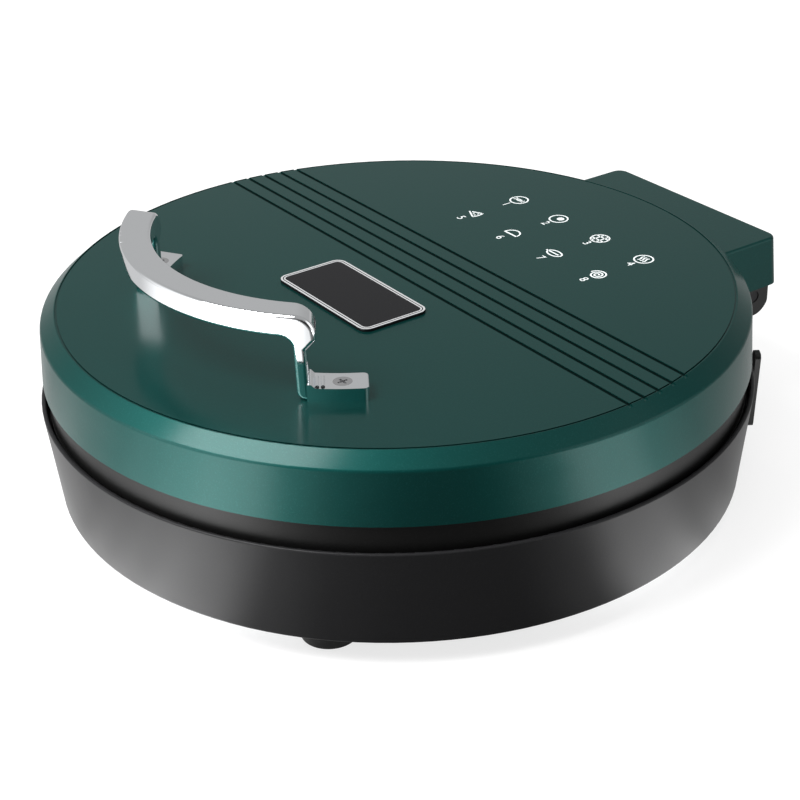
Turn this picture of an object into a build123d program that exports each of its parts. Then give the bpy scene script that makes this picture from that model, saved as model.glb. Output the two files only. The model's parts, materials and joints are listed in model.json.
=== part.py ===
from build123d import *
import os
from math import atan2, cos, degrees, radians, sin, tan

os.makedirs("parts", exist_ok=True)

# Electric baking pan, all sizes in millimetres. While the pieces are drawn, the pan's upright
# axis is x = 0, y = 0 and the table is z = 0. The handle faces -Y and the hinge is at +Y.

# Table, feet and base shell
foot_height = 11.5
foot_radius = 14.3
foot_bottom_radius = 12.5
foot_inside_flange = 8.15
foot_angle = 47.6
foot_pocket_radius = 5.2
foot_pocket_depth = 4.0
base_rim_radius = 168.3
base_taper = 5.2
base_height = 47.1
base_wall = 2.2
base_edge_round = 1.6
ledge_below_rim = 8.6
ledge_set_back = 2.2
ledge_thickness = 2.2
bottom_flange_thickness = 3.5
bottom_flange_width = 8.5
bottom_edge_width = 5.6
bottom_plate_thickness = 1.5
vent_count = 16
vent_length = 22.0
vent_width = 3.2
vent_ring_radius = 72.0
boss_height = 7.0
boss_wall = 2.3

# Rings that carry the two trays
base_ring_thickness = 4.4
base_ring_lip = 0.6
ring_land_width = 6.65
lid_ring_flange = 2.3
lid_skirt_height = 14.4
lid_skirt_gap = 1.0
lid_skirt_side_gap = 1.9
lid_skirt_set_back = 1.4
lid_skirt_wall = 2.2
lid_ring_tongue = 7.6

# Trays, heating tubes and reflectors
tray_rim_width = 12.4
tray_rim_thickness = 2.0
tray_side_draft = 4.5
tray_side_gap = 0.9
tray_floor_thickness = 2.4
tray_corner_round = 5.0
lower_dish_depth = 14.4
upper_dish_depth = 9.6
tray_rims_apart = 0.5
tube_radius = 3.5
tube_ring_radius = 92.0
tube_rib_width = 2.5
tube_gap_angle = 28.0
tube_bend_radius = 8.0
tube_leg_run = 10.0
tube_leg_length = 13.2
cold_pin_radius = 1.3
cold_pin_length = 5.0
stud_radius = 4.0
stud_height = 6.0
stud_from_floor_edge = 7.0
stud_floor = 1.0
stud_tip_gap = 1.5
sheet = 0.8
reflector_beyond_studs = 5.5
reflector_inside_studs = 8.0
reflector_slope_width = 8.0
reflector_depth = 8.7
reflector_centre_hole = 10.0
thermostat_radius = 8.0
thermostat_height = 9.5
thermostat_neck_radius = 5.5
thermostat_neck_height = 3.2
thermostat_tab_x = 3.0
thermostat_tab_length = 6.0
thermostat_tab_thickness = 0.8
thermostat_tab_half_width = 2.5
bracket_half_length = 24.0
bracket_half_bridge = 15.0
bracket_width = 12.0
fuse_radius = 2.6
fuse_length = 28.0
fuse_offset = 58.0
fuse_tail = 6.0
clip_length = 7.0
clip_foot = 5.0
clamp_thickness = 1.2
clamp_width = 14.0
clamp_hook = 6.0
clamp_tail = 2.0
clamp_clearance = 0.5

# Lid cover
cover_inset = 1.9
cover_taper = 1.4
cover_bevel_width = 7.0
cover_band_height = 24.7
cover_bevel_height = 6.2
cover_wall = 2.2
cover_shoulder_round = 2.2
rim_line_width = 0.9
rim_line_depth = 0.5
groove_count = 5
groove_pitch = 8.9
groove_first_y = 6.1
groove_width = 2.0
groove_depth = 0.8
pillar_radius = 4.2
pillar_from_wall = 10.9
pillar_hole_depth = 14.0

# Rear box on the lid, hinge and its float
box_below_top = 7.6
box_height = 25.0
box_corner_round = 6.0
box_edge_round = 1.6
box_overhang = 2.4
box_side_overhang = 1.4
box_draft = 1.4
housing_half_width = 57.8
housing_corner_round = 1.5
barrel_radius = 10.3
housing_top_above_pivot = 10.3
housing_bridge = 3.0
housing_bridge_behind_pivot = 6.0
housing_over_rim = 2.4
housing_screw_x = 46.0
housing_screw_front = -13.0
housing_screw_rear = 5.4
housing_screw_bite = 9.0
housing_screw_shelf = 1.6
pivot_behind_rim = 10.2
pivot_above_rim = 4.6
hinge_travel = 15.0
pin_radius = 3.0
pin_recess = 0.4
pin_clearance = 0.05
knuckle_radius = 6.5
knuckle_half_width = 30.0
knuckle_side_gap = 0.5
leg_x = 21.5
leg_width = 10.0
leg_thickness = 4.2
leg_before_pivot = 0.9
leg_below_pivot = 45.0
slide_clearance = 0.15
stop_screw_below_pivot = 23.0
stop_screw_tip = 1.5
block_half_width = 30.0
block_behind_pivot = 5.2
block_below_pivot = 17.0
block_above_base = 2.0
block_inside_base = 12.0
block_round = 4.0
block_low_screw = 8.0
block_high_screw = 6.0
shoulder_half_width = 38.0
shoulder_below_pivot = 20.0

# Appliance inlet in the hinge block
inlet_half_width = 13.5
inlet_height = 19.8
inlet_above_base = 5.5
inlet_depth = 31.0
inlet_flange = 2.0
inlet_socket_half_width = 12.1
inlet_socket_height = 16.4
inlet_socket_depth = 16.0
inlet_pin_pitch = 7.0
inlet_socket_corner = 4.5
inlet_pin_half_thickness = 1.0
inlet_pin_half_height = 2.0
inlet_pin_tail = 7.0
inlet_pin_spots = ((-1, -2.0), (0, 2.0), (1, -2.0))

# Rear cord posts
post_angle = 56.3
post_low_gap = 6.1
post_high_gap = 3.0
post_thickness = 2.6
post_half_width = 4.0
post_above_base = 7.8
post_below_rim = 0.3
post_corner_round = 2.6
post_screw_spread = 6.0
stem_half_width = 3.6
stem_half_height = 12.0
stem_above_base = 24.5
post_screw_length = 8.0
block_screw_length = 11.0
wall_screw_play = 0.05

# Handle. Offsets along its leg and tab run outwards from where the arc turns straight.
handle_arc_centre_y = -24.0
handle_arc_radius = 96.5
handle_width = 14.2
handle_height = 38.6
grip_depth = 10.2
handle_strap = 6.0
handle_tab_thickness = 6.0
handle_tangent_angle = 57.5
handle_leg_foot = -22.4
handle_leg_lean = 0.9
handle_tab_end = 4.6
handle_tab_screw = -6.4
handle_tab_round = 2.6
handle_tab_edge_round = 0.8
handle_shoulder = 4.0
handle_shoulder_drop = 11.0
handle_shoulder_taper = 4.6
handle_top_round = 9.0
handle_inner_round = 5.0
handle_heel_round = 4.0
handle_toe = 1.5
handle_edge_round = 2.0
handle_rib_radius = 0.9
handle_rib_spots = (-17.0, -14.6)
handle_screw_radius = 2.0
handle_screw_head = 4.2

# Nameplate
plate_length = 73.0
plate_depth = 36.0
plate_centre_y = -24.4
plate_round = 5.0
plate_height = 1.3
plate_peg_radius = 1.5
plate_peg_x = 30.0

# Terminal blocks
terminal_length = 40.0
terminal_depth = 14.0
terminal_height = 8.0
terminal_way_height = 4.4
terminal_ways = 3
terminal_pitch = 9.0
terminal_screw_x = 16.0
terminal_from_rim = 52.3

# Fasteners and fits
fit_gap = 0.3
screw_radius = 1.5
screw_head = 2.9
screw_head_height = 1.9
screw_hole_gap = 0.2
ring_screw_count = 6
plate_screw_bite = 4.0
base_ring_screw_bite = 5.0
lid_ring_screw_bite = 11.0
foot_screw_radius = 2.0
lead_radius = 1.3
lead_run_above_plate = 2.5
lead_tab_run = 25.0
lead_crossing = (12.0, -18.0)
lead_fuse_turn = (34.0, -36.0)
lead_return_x = 42.0
lead_return_y = 60.0
lead_pin_run = 30.0
wire_window_margin = 3.0
wire_window_drop = 2.0
wire_window_height = 8.0

# Heights that follow from the sizes above
base_z = foot_height
rim_z = base_z + base_height
ledge_z = rim_z - ledge_below_rim
lower_seat_z = ledge_z + base_ring_thickness
upper_seat_z = lower_seat_z + 2 * tray_rim_thickness + tray_rims_apart
skirt_z = lower_seat_z + base_ring_lip + lid_skirt_gap
cover_z = skirt_z + lid_skirt_height
shoulder_z = cover_z + cover_band_height
lid_top_z = shoulder_z + cover_bevel_height
lid_inner_top_z = lid_top_z - cover_wall
plate_top_z = base_z + bottom_plate_thickness
pivot_z = rim_z + pivot_above_rim
box_top_z = lid_top_z - box_below_top
box_bottom_z = box_top_z - box_height
housing_top_z = pivot_z + housing_top_above_pivot

# Radii that follow, from the rim inwards
base_bottom_radius = base_rim_radius - base_taper
bottom_plate_radius = base_bottom_radius - bottom_edge_width
bottom_flange_radius = bottom_plate_radius - bottom_flange_width
foot_circle_radius = bottom_flange_radius - foot_inside_flange
foot_x = foot_circle_radius * cos(radians(foot_angle))
foot_y = foot_circle_radius * sin(radians(foot_angle))
cover_bottom_radius = base_rim_radius - cover_inset
cover_inner_bottom_radius = cover_bottom_radius - cover_wall
cover_shoulder_radius = cover_bottom_radius - cover_taper
cover_top_radius = cover_shoulder_radius - cover_bevel_width
lid_skirt_bottom_radius = base_rim_radius - base_wall - lid_skirt_side_gap
lid_skirt_top_radius = cover_bottom_radius - lid_skirt_set_back
pillar_circle_radius = cover_inner_bottom_radius - pillar_from_wall


def wall_radius(z):
    """Outside radius of the tapered base shell at height z."""
    return base_bottom_radius + (base_rim_radius - base_bottom_radius) * (z - base_z) / base_height


tightest_wall = min(wall_radius(ledge_z), wall_radius(lower_seat_z + base_ring_lip))
ring_outer_radius = tightest_wall - base_wall - fit_gap
tray_rim_radius = ring_outer_radius - ring_land_width - fit_gap
tray_mouth_radius = tray_rim_radius - tray_rim_width
tray_floor_radius = tray_mouth_radius - tray_side_draft
ring_inner_radius = tray_mouth_radius + tray_floor_thickness + tray_side_gap
ledge_inner_radius = ring_inner_radius + ledge_set_back
clamp_reach = ledge_inner_radius + clamp_hook
stud_circle_radius = tray_floor_radius - stud_from_floor_edge
reflector_rim_radius = stud_circle_radius + reflector_beyond_studs
reflector_shoulder_radius = stud_circle_radius - reflector_inside_studs
reflector_floor_radius = reflector_shoulder_radius - reflector_slope_width

# Places behind the rim that follow
widest_base = max(base_rim_radius, base_bottom_radius)
pivot_y = widest_base + pivot_behind_rim
housing_back_y = pivot_y + barrel_radius
box_back_y = housing_back_y + box_overhang
box_half_width = housing_half_width + box_side_overhang
pan_y = (widest_base - box_back_y - box_draft) / 2
block_back_y = pivot_y + block_behind_pivot
leg_y = pivot_y - leg_before_pivot
leg_depth = (leg_y - leg_thickness / 2, leg_y + leg_thickness / 2)
block_front_y = base_bottom_radius - block_inside_base
cheek_inner_x = knuckle_half_width + knuckle_side_gap
terminal_y = base_rim_radius - terminal_from_rim

BOTTOM = (Align.CENTER, Align.CENTER, Align.MIN)


def outline(*corners):
    """Flat closed shape through (a, b) corners. A third number rounds that corner."""
    shape = make_face(Polyline(*[corner[:2] for corner in corners], close=True))
    for a, b, radius in [corner for corner in corners if len(corner) == 3]:
        corner = shape.vertices().sort_by_distance((a, b, 0))[0]
        shape = fillet(corner, radius)
    return shape


def turned(*corners):
    """Solid turned about the upright axis from (radius, height) corners."""
    return revolve(Plane.XZ * outline(*corners), Axis.Z)


def disc(radius, low, high):
    """Upright cylinder on the axis between two heights."""
    return Pos(0, 0, low) * Cylinder(radius, high - low, align=BOTTOM)


def block(x, y, z):
    """Box between the (low, high) pairs of each axis."""
    size = [high - low for low, high in (x, y, z)]
    middle = [(low + high) / 2 for low, high in (x, y, z)]
    return Pos(*middle) * Box(*size)


def around(radius, count, start):
    """Places on a circle, each turned so that its own x axis points outwards."""
    return PolarLocations(radius, count, start_angle=start)


def screw(length, radius=screw_radius, head=screw_head, head_height=screw_head_height):
    """Cross-head screw standing head up, its head seated on z = 0."""
    cap = disc(head, 0, head_height)
    cap = fillet(cap.edges().group_by(Axis.Z)[-1], 0.5 * head_height)
    bar = Box(1.1 * head, 0.26 * head, head_height)
    cross = Pos(0, 0, head_height) * (bar + Rot(0, 0, 90) * bar)
    return cap - cross + disc(radius, -length, 0)


def hex_nut(bore, height):
    """Hexagon nut standing on z = 0."""
    body = extrude(RegularPolygon(1.75 * bore, 6, major_radius=False), height)
    return body - disc(bore, 0, height)


def lead(*points):
    """Insulated wire through its points, each bend as wide as the runs beside it allow."""
    knots = [Vector(*point) for point in points]
    runs = [after - before for before, after in zip(knots, knots[1:])]
    radii = [
        0.45 * min(before.length, after.length) / tan(radians(before.get_angle(after)) / 2)
        for before, after in zip(runs, runs[1:])
    ]
    print("lead bends", ", ".join(f"{radius:.1f}" for radius in radii), "mm")
    path = FilletPolyline(*knots, radius=radii)
    section = Plane(origin=knots[0], z_dir=runs[0]) * Circle(lead_radius)
    return sweep(section, path=path)


def save(name, *pieces):
    """Write one named piece, or one group of like pieces, moved to the part's own origin."""
    solids = [solid for piece in pieces for solid in piece.solids()]
    moved = [Pos(0, pan_y, 0) * solid for solid in solids]
    shape = moved[0] if len(moved) == 1 else Compound(moved)
    export_step(shape, f"parts/{name}.step")


def mirrored(piece):
    """The same piece on the other side of the pan."""
    return mirror(piece, about=Plane.YZ)


def both_sides(piece):
    """The piece and its twin on the other side."""
    return [piece, mirrored(piece)]


# Base: shell, bottom plate and feet

ring_screw_radius = (ledge_inner_radius + tray_rim_radius) / 2
plate_screw_radius = bottom_flange_radius + screw_head + 1.0
inlet_z = base_z + inlet_above_base
block_top_z = pivot_z - block_below_pivot
block_bottom_z = base_z + block_above_base
shoulder_top_z = pivot_z - shoulder_below_pivot
shoulder_middle_x = (block_half_width + shoulder_half_width) / 2
block_screw_angle = degrees(atan2(base_rim_radius, shoulder_middle_x))
block_screw_heights = [block_bottom_z + block_low_screw, shoulder_top_z - block_high_screw]
stem_z = base_z + stem_above_base
post_screw_heights = [stem_z - post_screw_spread, stem_z + post_screw_spread]


def wall_screw_seat(z):
    """Radius where a screw head inside the base shell meets its slanting wall."""
    return wall_radius(z - screw_head) - base_wall - wall_screw_play


def wall_holes(angle, heights):
    """Clearance holes through the base wall, pointing outwards at an angle."""
    hole = Cylinder(screw_radius + screw_hole_gap, 6 * base_wall)
    return [
        Rot(0, 0, angle) * Pos(wall_radius(z), 0, z) * Rot(0, 90, 0) * hole
        for z in heights
    ]


def make_base_shell():
    """Tapered shell with an inner ledge for the ring and a bottom flange for the plate."""
    recess_radius = bottom_plate_radius + fit_gap
    flange_z = base_z + bottom_flange_thickness
    low_ledge_z = ledge_z - ledge_thickness
    rim_round = 0.4 * base_wall
    shell = turned(
        (recess_radius, base_z),
        (base_bottom_radius, base_z, base_edge_round),
        (base_rim_radius, rim_z, rim_round),
        (base_rim_radius - base_wall, rim_z, rim_round),
        (wall_radius(ledge_z) - base_wall, ledge_z),
        (ledge_inner_radius, ledge_z),
        (ledge_inner_radius, low_ledge_z),
        (wall_radius(low_ledge_z) - base_wall, low_ledge_z),
        (wall_radius(flange_z) - base_wall, flange_z),
        (bottom_flange_radius, flange_z),
        (bottom_flange_radius, plate_top_z),
        (recess_radius, plate_top_z),
    )
    boss_radius = screw_radius + boss_wall
    for place in around(ring_screw_radius, ring_screw_count, 0):
        shell += place * disc(boss_radius, low_ledge_z - boss_height, low_ledge_z)
    for place in around(ring_screw_radius, ring_screw_count, 0):
        shell -= place * disc(screw_radius, low_ledge_z - boss_height, ledge_z)
    for place in around(plate_screw_radius, ring_screw_count, 0):
        shell += place * disc(boss_radius, flange_z, flange_z + boss_height)
    for place in around(plate_screw_radius, ring_screw_count, 0):
        shell -= place * disc(screw_radius, plate_top_z, flange_z + boss_height)
    opening = inlet_half_width + 2 * fit_gap
    opening_z = (inlet_z - 2 * fit_gap, inlet_z + inlet_height + 2 * fit_gap)
    shell -= block((-opening, opening), (block_front_y, block_back_y), opening_z)
    for angle in (block_screw_angle, 180 - block_screw_angle):
        for hole in wall_holes(angle, block_screw_heights):
            shell -= hole
    for angle in (post_angle, 180 - post_angle):
        for hole in wall_holes(angle, post_screw_heights):
            shell -= hole
    return shell


def make_bottom_plate():
    """Flat plate in the shell's bottom recess, with vent slots and holes for screws and feet."""
    plate = disc(bottom_plate_radius, base_z, plate_top_z)
    slot = extrude(SlotOverall(vent_length, vent_width), bottom_plate_thickness)
    for place in around(vent_ring_radius, vent_count, 180 / vent_count):
        plate -= place * Pos(0, 0, base_z) * slot
    for place in around(plate_screw_radius, ring_screw_count, 0):
        plate -= place * disc(screw_radius + screw_hole_gap, base_z, plate_top_z)
    for x in (-foot_x, foot_x):
        for y in (-foot_y, foot_y):
            plate -= Pos(x, y, 0) * disc(foot_screw_radius + screw_hole_gap, base_z, plate_top_z)
    for x in (-terminal_screw_x, terminal_screw_x):
        plate -= Pos(x, terminal_y, 0) * disc(screw_radius, base_z, plate_top_z)
    return plate


def make_foot():
    """Rubber foot with a pocket for its screw head."""
    foot = turned(
        (0, 0),
        (foot_bottom_radius, 0, 1.0),
        (foot_radius, foot_height),
        (0, foot_height),
    )
    foot -= disc(foot_pocket_radius, 0, foot_pocket_depth)
    return foot - disc(foot_screw_radius, 0, foot_height)


def make_foot_screw():
    """Screw that passes up through a foot and the bottom plate into a nut."""
    nut_height = 1.6 * foot_screw_radius
    length = foot_height - foot_pocket_depth + bottom_plate_thickness + nut_height + 1.0
    return Pos(0, 0, foot_pocket_depth) * Rot(180, 0, 0) * screw(length, foot_screw_radius, 3.9, 2.4)


def make_terminal_block(low):
    """Three-way terminal block standing on a height, with wire holes along Y."""
    half_length = terminal_length / 2
    half_depth = terminal_depth / 2
    body = block((-half_length, half_length), (-half_depth, half_depth), (low, low + terminal_height))
    body = fillet(body.edges().filter_by(Axis.Z), 1.0)
    for way in range(terminal_ways):
        x = (way - (terminal_ways - 1) / 2) * terminal_pitch
        hole = Rot(90, 0, 0) * Cylinder(lead_radius, terminal_depth)
        body -= Pos(x, 0, low + terminal_way_height) * hole
    for x in (-terminal_screw_x, terminal_screw_x):
        body -= Pos(x, 0, 0) * disc(screw_radius, low, low + terminal_height)
    return body


def terminal_screws(y, low, length):
    """The two screws that hold a terminal block down."""
    one = screw(terminal_height + length)
    return [Pos(x, y, low + terminal_height) * one for x in (-terminal_screw_x, terminal_screw_x)]


def save_base():
    """Base shell, bottom plate, feet and their fasteners."""
    save("base_shell", make_base_shell())
    save("bottom_plate", make_bottom_plate())
    plate_screw = Rot(180, 0, 0) * screw(bottom_plate_thickness + bottom_flange_thickness + plate_screw_bite)
    places = around(plate_screw_radius, ring_screw_count, 0)
    save("bottom_plate_screws", *[place * Pos(0, 0, base_z) * plate_screw for place in places])
    corners = {
        "foot_front_left": (-foot_x, -foot_y),
        "foot_front_right": (foot_x, -foot_y),
        "foot_rear_left": (-foot_x, foot_y),
        "foot_rear_right": (foot_x, foot_y),
    }
    for name, (x, y) in corners.items():
        save(name, Pos(x, y, 0) * make_foot())
    spots = list(corners.values())
    save("foot_screws", *[Pos(x, y, 0) * make_foot_screw() for x, y in spots])
    nut = hex_nut(foot_screw_radius, 1.6 * foot_screw_radius)
    save("foot_nuts", *[Pos(x, y, plate_top_z) * nut for x, y in spots])
    save("terminal_block", Pos(0, terminal_y, 0) * make_terminal_block(plate_top_z))
    save("terminal_block_screws", *terminal_screws(terminal_y, plate_top_z, bottom_plate_thickness))


# Heater sets. Each is drawn with z = 0 at the tray's seat and z growing away from the food.
# The lower set is the same drawing turned over.


def tray_heights(dish_depth):
    """Heights above the seat of the cooking face and of the tray's back."""
    face = dish_depth - tray_rim_thickness
    return face, face + tray_floor_thickness


def make_tray(dish_depth):
    """Dished tray with a rim, a channel for the heating tube and four studs on its back."""
    face, back = tray_heights(dish_depth)
    side = tray_floor_thickness
    tray = turned(
        (0, face),
        (tray_floor_radius, face, tray_corner_round),
        (tray_mouth_radius, -tray_rim_thickness, 1.5),
        (tray_rim_radius, -tray_rim_thickness, 0.7),
        (tray_rim_radius, 0),
        (tray_mouth_radius + side, 0),
        (tray_floor_radius + side, back, 2.0),
        (0, back),
    )
    rib = tube_radius + tube_rib_width
    channel = disc(tube_ring_radius + rib, back, back + tube_radius)
    channel -= disc(tube_ring_radius - rib, back, back + tube_radius)
    tray += channel
    tray -= Pos(0, 0, back + tube_radius) * Torus(tube_ring_radius, tube_radius)
    for place in around(stud_circle_radius, 4, 45):
        tray += place * disc(stud_radius, back, back + stud_height)
    for place in around(stud_circle_radius, 4, 45):
        tray -= place * disc(screw_radius, back + stud_floor, back + stud_height)
    return tray


def make_heating_tube(dish_depth):
    """Ring of tube in the tray's channel, its two cold ends turned away from the tray."""
    _, back = tray_heights(dish_depth)
    middle = back + tube_radius
    half_gap = tube_gap_angle / 2
    section = Plane.XZ * Pos(tube_ring_radius, middle) * Circle(tube_radius)
    tube = revolve(Rot(0, 0, 90 + half_gap) * section, Axis.Z, 360 - tube_gap_angle)
    end = Vector(tube_ring_radius * sin(radians(half_gap)), tube_ring_radius * cos(radians(half_gap)), middle)
    inward = Vector(-cos(radians(half_gap)), sin(radians(half_gap)), 0)
    corner = end + inward * tube_leg_run
    tip = corner + Vector(0, 0, tube_leg_length)
    path = FilletPolyline(end, corner, tip, radius=tube_bend_radius)
    leg = sweep(Plane(origin=end, z_dir=inward) * Circle(tube_radius), path=path)
    leg += Pos(*tip) * disc(cold_pin_radius, 0, cold_pin_length)
    return tube + leg + mirrored(leg)


def tube_leg_place(dish_depth):
    """Place of the right cold end's tip, from the seat."""
    _, back = tray_heights(dish_depth)
    half_gap = radians(tube_gap_angle / 2)
    x = tube_ring_radius * sin(half_gap) - tube_leg_run * cos(half_gap)
    y = tube_ring_radius * cos(half_gap) + tube_leg_run * sin(half_gap)
    return x, y, back + tube_radius + tube_leg_length + cold_pin_length


def make_reflector(dish_depth):
    """Thin dish that turns the tube's heat back to the tray, carried on the four studs."""
    _, back = tray_heights(dish_depth)
    rim = back + stud_height
    floor = rim + reflector_depth
    dish = turned(
        (reflector_rim_radius, rim),
        (reflector_rim_radius, rim + sheet),
        (reflector_shoulder_radius + sheet, rim + sheet),
        (reflector_floor_radius + sheet, floor + sheet),
        (reflector_centre_hole, floor + sheet),
        (reflector_centre_hole, floor),
        (reflector_floor_radius, floor),
        (reflector_shoulder_radius, rim),
    )
    for place in around(stud_circle_radius, 4, 45):
        dish -= place * disc(screw_radius, rim, rim + sheet)
    x, y, _ = tube_leg_place(dish_depth)
    for side in (-x, x):
        dish -= Pos(side, y, 0) * disc(tube_radius + 1.0, floor, floor + sheet)
    return dish


def make_thermostat(dish_depth):
    """Disc thermostat pressed on the middle of the tray's back, with two terminals."""
    _, back = tray_heights(dish_depth)
    top = back + thermostat_height
    neck_top = top + thermostat_neck_height
    body = disc(thermostat_radius, back, top) + disc(thermostat_neck_radius, top, neck_top)
    half_tab = thermostat_tab_thickness / 2
    across = (thermostat_tab_x - half_tab, thermostat_tab_x + half_tab)
    deep = (-thermostat_tab_half_width, thermostat_tab_half_width)
    tab = block(across, deep, (neck_top, neck_top + thermostat_tab_length))
    return body + tab + mirrored(tab)


def make_bracket(dish_depth):
    """Spring strip that bridges the reflector's hole and carries the thermostat."""
    _, back = tray_heights(dish_depth)
    floor = back + stud_height + reflector_depth
    bridge = back + thermostat_height
    profile = outline(
        (-bracket_half_length, floor),
        (-bracket_half_length, floor - sheet),
        (-bracket_half_bridge, floor - sheet),
        (-bracket_half_bridge, bridge),
        (bracket_half_bridge, bridge),
        (bracket_half_bridge, floor - sheet),
        (bracket_half_length, floor - sheet),
        (bracket_half_length, floor),
        (bracket_half_bridge - sheet, floor),
        (bracket_half_bridge - sheet, bridge + sheet),
        (sheet - bracket_half_bridge, bridge + sheet),
        (sheet - bracket_half_bridge, floor),
    )
    strip = extrude(Plane.XZ * profile, amount=bracket_width / 2, both=True)
    return strip - disc(thermostat_neck_radius, bridge, bridge + sheet)


def fuse_height(dish_depth):
    """Height of the fuse's axis, on the far side of the reflector."""
    _, back = tray_heights(dish_depth)
    return back + stud_height + reflector_depth + sheet + fuse_radius


def make_fuse(dish_depth):
    """Thermal fuse in its sleeve, lying on the reflector."""
    sleeve = Rot(0, 90, 0) * Cylinder(fuse_radius, fuse_length)
    ends = Rot(0, 90, 0) * Cylinder(0.4 * fuse_radius, fuse_length + 2 * fuse_tail)
    return Pos(0, -fuse_offset, fuse_height(dish_depth)) * (sleeve + ends)


def make_fuse_clip(dish_depth):
    """Strap that holds the fuse down on the reflector."""
    arch_radius = fuse_radius + sheet
    lower_half = Pos(0, -arch_radius) * Rectangle(2 * arch_radius, 2 * arch_radius)
    profile = Circle(arch_radius) - lower_half
    profile += Pos(0, -fuse_radius / 2) * Rectangle(2 * arch_radius, fuse_radius)
    foot_y = arch_radius + clip_foot / 2
    for side in (-foot_y, foot_y):
        profile += Pos(side, sheet / 2 - fuse_radius) * Rectangle(clip_foot, sheet)
    profile -= Circle(fuse_radius)
    profile -= Pos(0, -fuse_radius / 2) * Rectangle(2 * fuse_radius, fuse_radius)
    strap = extrude(Plane.YZ * profile, amount=clip_length / 2, both=True)
    return Pos(0, -fuse_offset, fuse_height(dish_depth)) * strap


def clamp_seat(dish_depth):
    """Height of the clamp's underside, on the reflector's rim."""
    _, back = tray_heights(dish_depth)
    return back + stud_height + sheet


def make_clamps(dish_depth, hook):
    """Four stepped clamps that pull the tray's studs against the ring that carries it."""
    under = clamp_seat(dish_depth)
    riser = ledge_inner_radius - clamp_clearance - clamp_thickness
    start = stud_circle_radius - stud_radius - clamp_tail
    profile = outline(
        (start, under),
        (riser, under),
        (riser, hook),
        (clamp_reach, hook),
        (clamp_reach, hook + clamp_thickness),
        (riser + clamp_thickness, hook + clamp_thickness),
        (riser + clamp_thickness, under + clamp_thickness),
        (start, under + clamp_thickness),
    )
    clamp = extrude(Plane.XZ * profile, amount=clamp_width / 2, both=True)
    clamp -= Pos(stud_circle_radius, 0, 0) * disc(screw_radius, under, under + clamp_thickness)
    return [Rot(0, 0, 45 + 90 * quarter) * clamp for quarter in range(4)]


def make_clamp_screws(dish_depth):
    """Screws through the clamps and the reflector into the tray's studs."""
    seat = clamp_seat(dish_depth) + clamp_thickness
    one = screw(clamp_thickness + sheet + stud_height - stud_tip_gap)
    return [place * Pos(0, 0, seat) * one for place in around(stud_circle_radius, 4, 45)]


def save_heater_set(prefix, dish_depth, hook, place):
    """One tray with everything that is fixed to its back."""
    save(f"{prefix}_tray", place(make_tray(dish_depth)))
    save(f"{prefix}_heating_tube", place(make_heating_tube(dish_depth)))
    save(f"{prefix}_reflector", place(make_reflector(dish_depth)))
    save(f"{prefix}_thermostat", place(make_thermostat(dish_depth)))
    save(f"{prefix}_thermostat_bracket", place(make_bracket(dish_depth)))
    save(f"{prefix}_thermal_fuse", place(make_fuse(dish_depth)))
    save(f"{prefix}_fuse_clip", place(make_fuse_clip(dish_depth)))
    save(f"{prefix}_tray_clamps", *[place(clamp) for clamp in make_clamps(dish_depth, hook)])
    save(f"{prefix}_clamp_screws", *[place(one) for one in make_clamp_screws(dish_depth)])


def in_base(piece):
    """Turn a heater piece over and seat it on the base ring."""
    return Pos(0, 0, lower_seat_z) * mirror(piece, about=Plane.XY)


def in_lid(piece):
    """Seat a heater piece under the lid ring."""
    return Pos(0, 0, upper_seat_z) * piece


# Rings and lid cover


def flush_screw(length, radius=screw_radius, head=screw_head):
    """Countersunk screw standing head up, its top flush with z = 0."""
    head_depth = head - radius
    body = turned((0, 0), (head, 0), (radius, -head_depth), (radius, -length), (0, -length))
    bar = Box(1.1 * head, 0.26 * head, head_depth)
    return body - bar - Rot(0, 0, 90) * bar


def flush_hole(depth, radius=screw_radius, head=screw_head):
    """Countersunk hole that flush_screw drops into."""
    return turned((0, 0), (head, 0), (radius, radius - head), (radius, -depth), (0, -depth))


def make_base_ring():
    """Heat-resistant ring on the shell's ledge, which centres and carries the lower tray."""
    seat_radius = tray_rim_radius + fit_gap
    ring = turned(
        (ring_inner_radius, ledge_z),
        (ring_outer_radius, ledge_z),
        (ring_outer_radius, lower_seat_z + base_ring_lip, 0.4),
        (seat_radius, lower_seat_z + base_ring_lip),
        (seat_radius, lower_seat_z),
        (ring_inner_radius, lower_seat_z),
    )
    for place in around(ring_screw_radius, ring_screw_count, 0):
        ring -= place * Pos(0, 0, lower_seat_z) * flush_hole(base_ring_thickness)
    return ring


def save_base_ring():
    """Base ring and the screws that hold it on the ledge."""
    save("base_ring", make_base_ring())
    one = flush_screw(base_ring_thickness + ledge_thickness + base_ring_screw_bite)
    places = around(ring_screw_radius, ring_screw_count, 0)
    save("base_ring_screws", *[place * Pos(0, 0, lower_seat_z) * one for place in places])


lid_flange_z = upper_seat_z + lid_ring_flange
tongue_radius = cover_inner_bottom_radius - 2 * fit_gap


def make_lid_ring():
    """Dark ring under the cover: a skirt, a flange for the upper tray and a tongue in the cover."""
    tongue_z = cover_z + lid_ring_tongue
    inner = lid_skirt_bottom_radius - lid_skirt_wall
    ring = turned(
        (lid_skirt_bottom_radius, skirt_z, 0.8),
        (lid_skirt_top_radius, cover_z),
        (tongue_radius, cover_z),
        (tongue_radius, tongue_z),
        (tongue_radius - lid_skirt_wall, tongue_z),
        (tongue_radius - lid_skirt_wall, lid_flange_z),
        (ring_inner_radius, lid_flange_z),
        (ring_inner_radius, upper_seat_z),
        (inner, upper_seat_z),
        (inner, skirt_z),
    )
    for place in around(pillar_circle_radius, ring_screw_count, 0):
        hole = mirror(flush_hole(lid_ring_flange), about=Plane.XY)
        ring -= place * Pos(0, 0, upper_seat_z) * hole
    return ring - make_wire_window()


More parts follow.
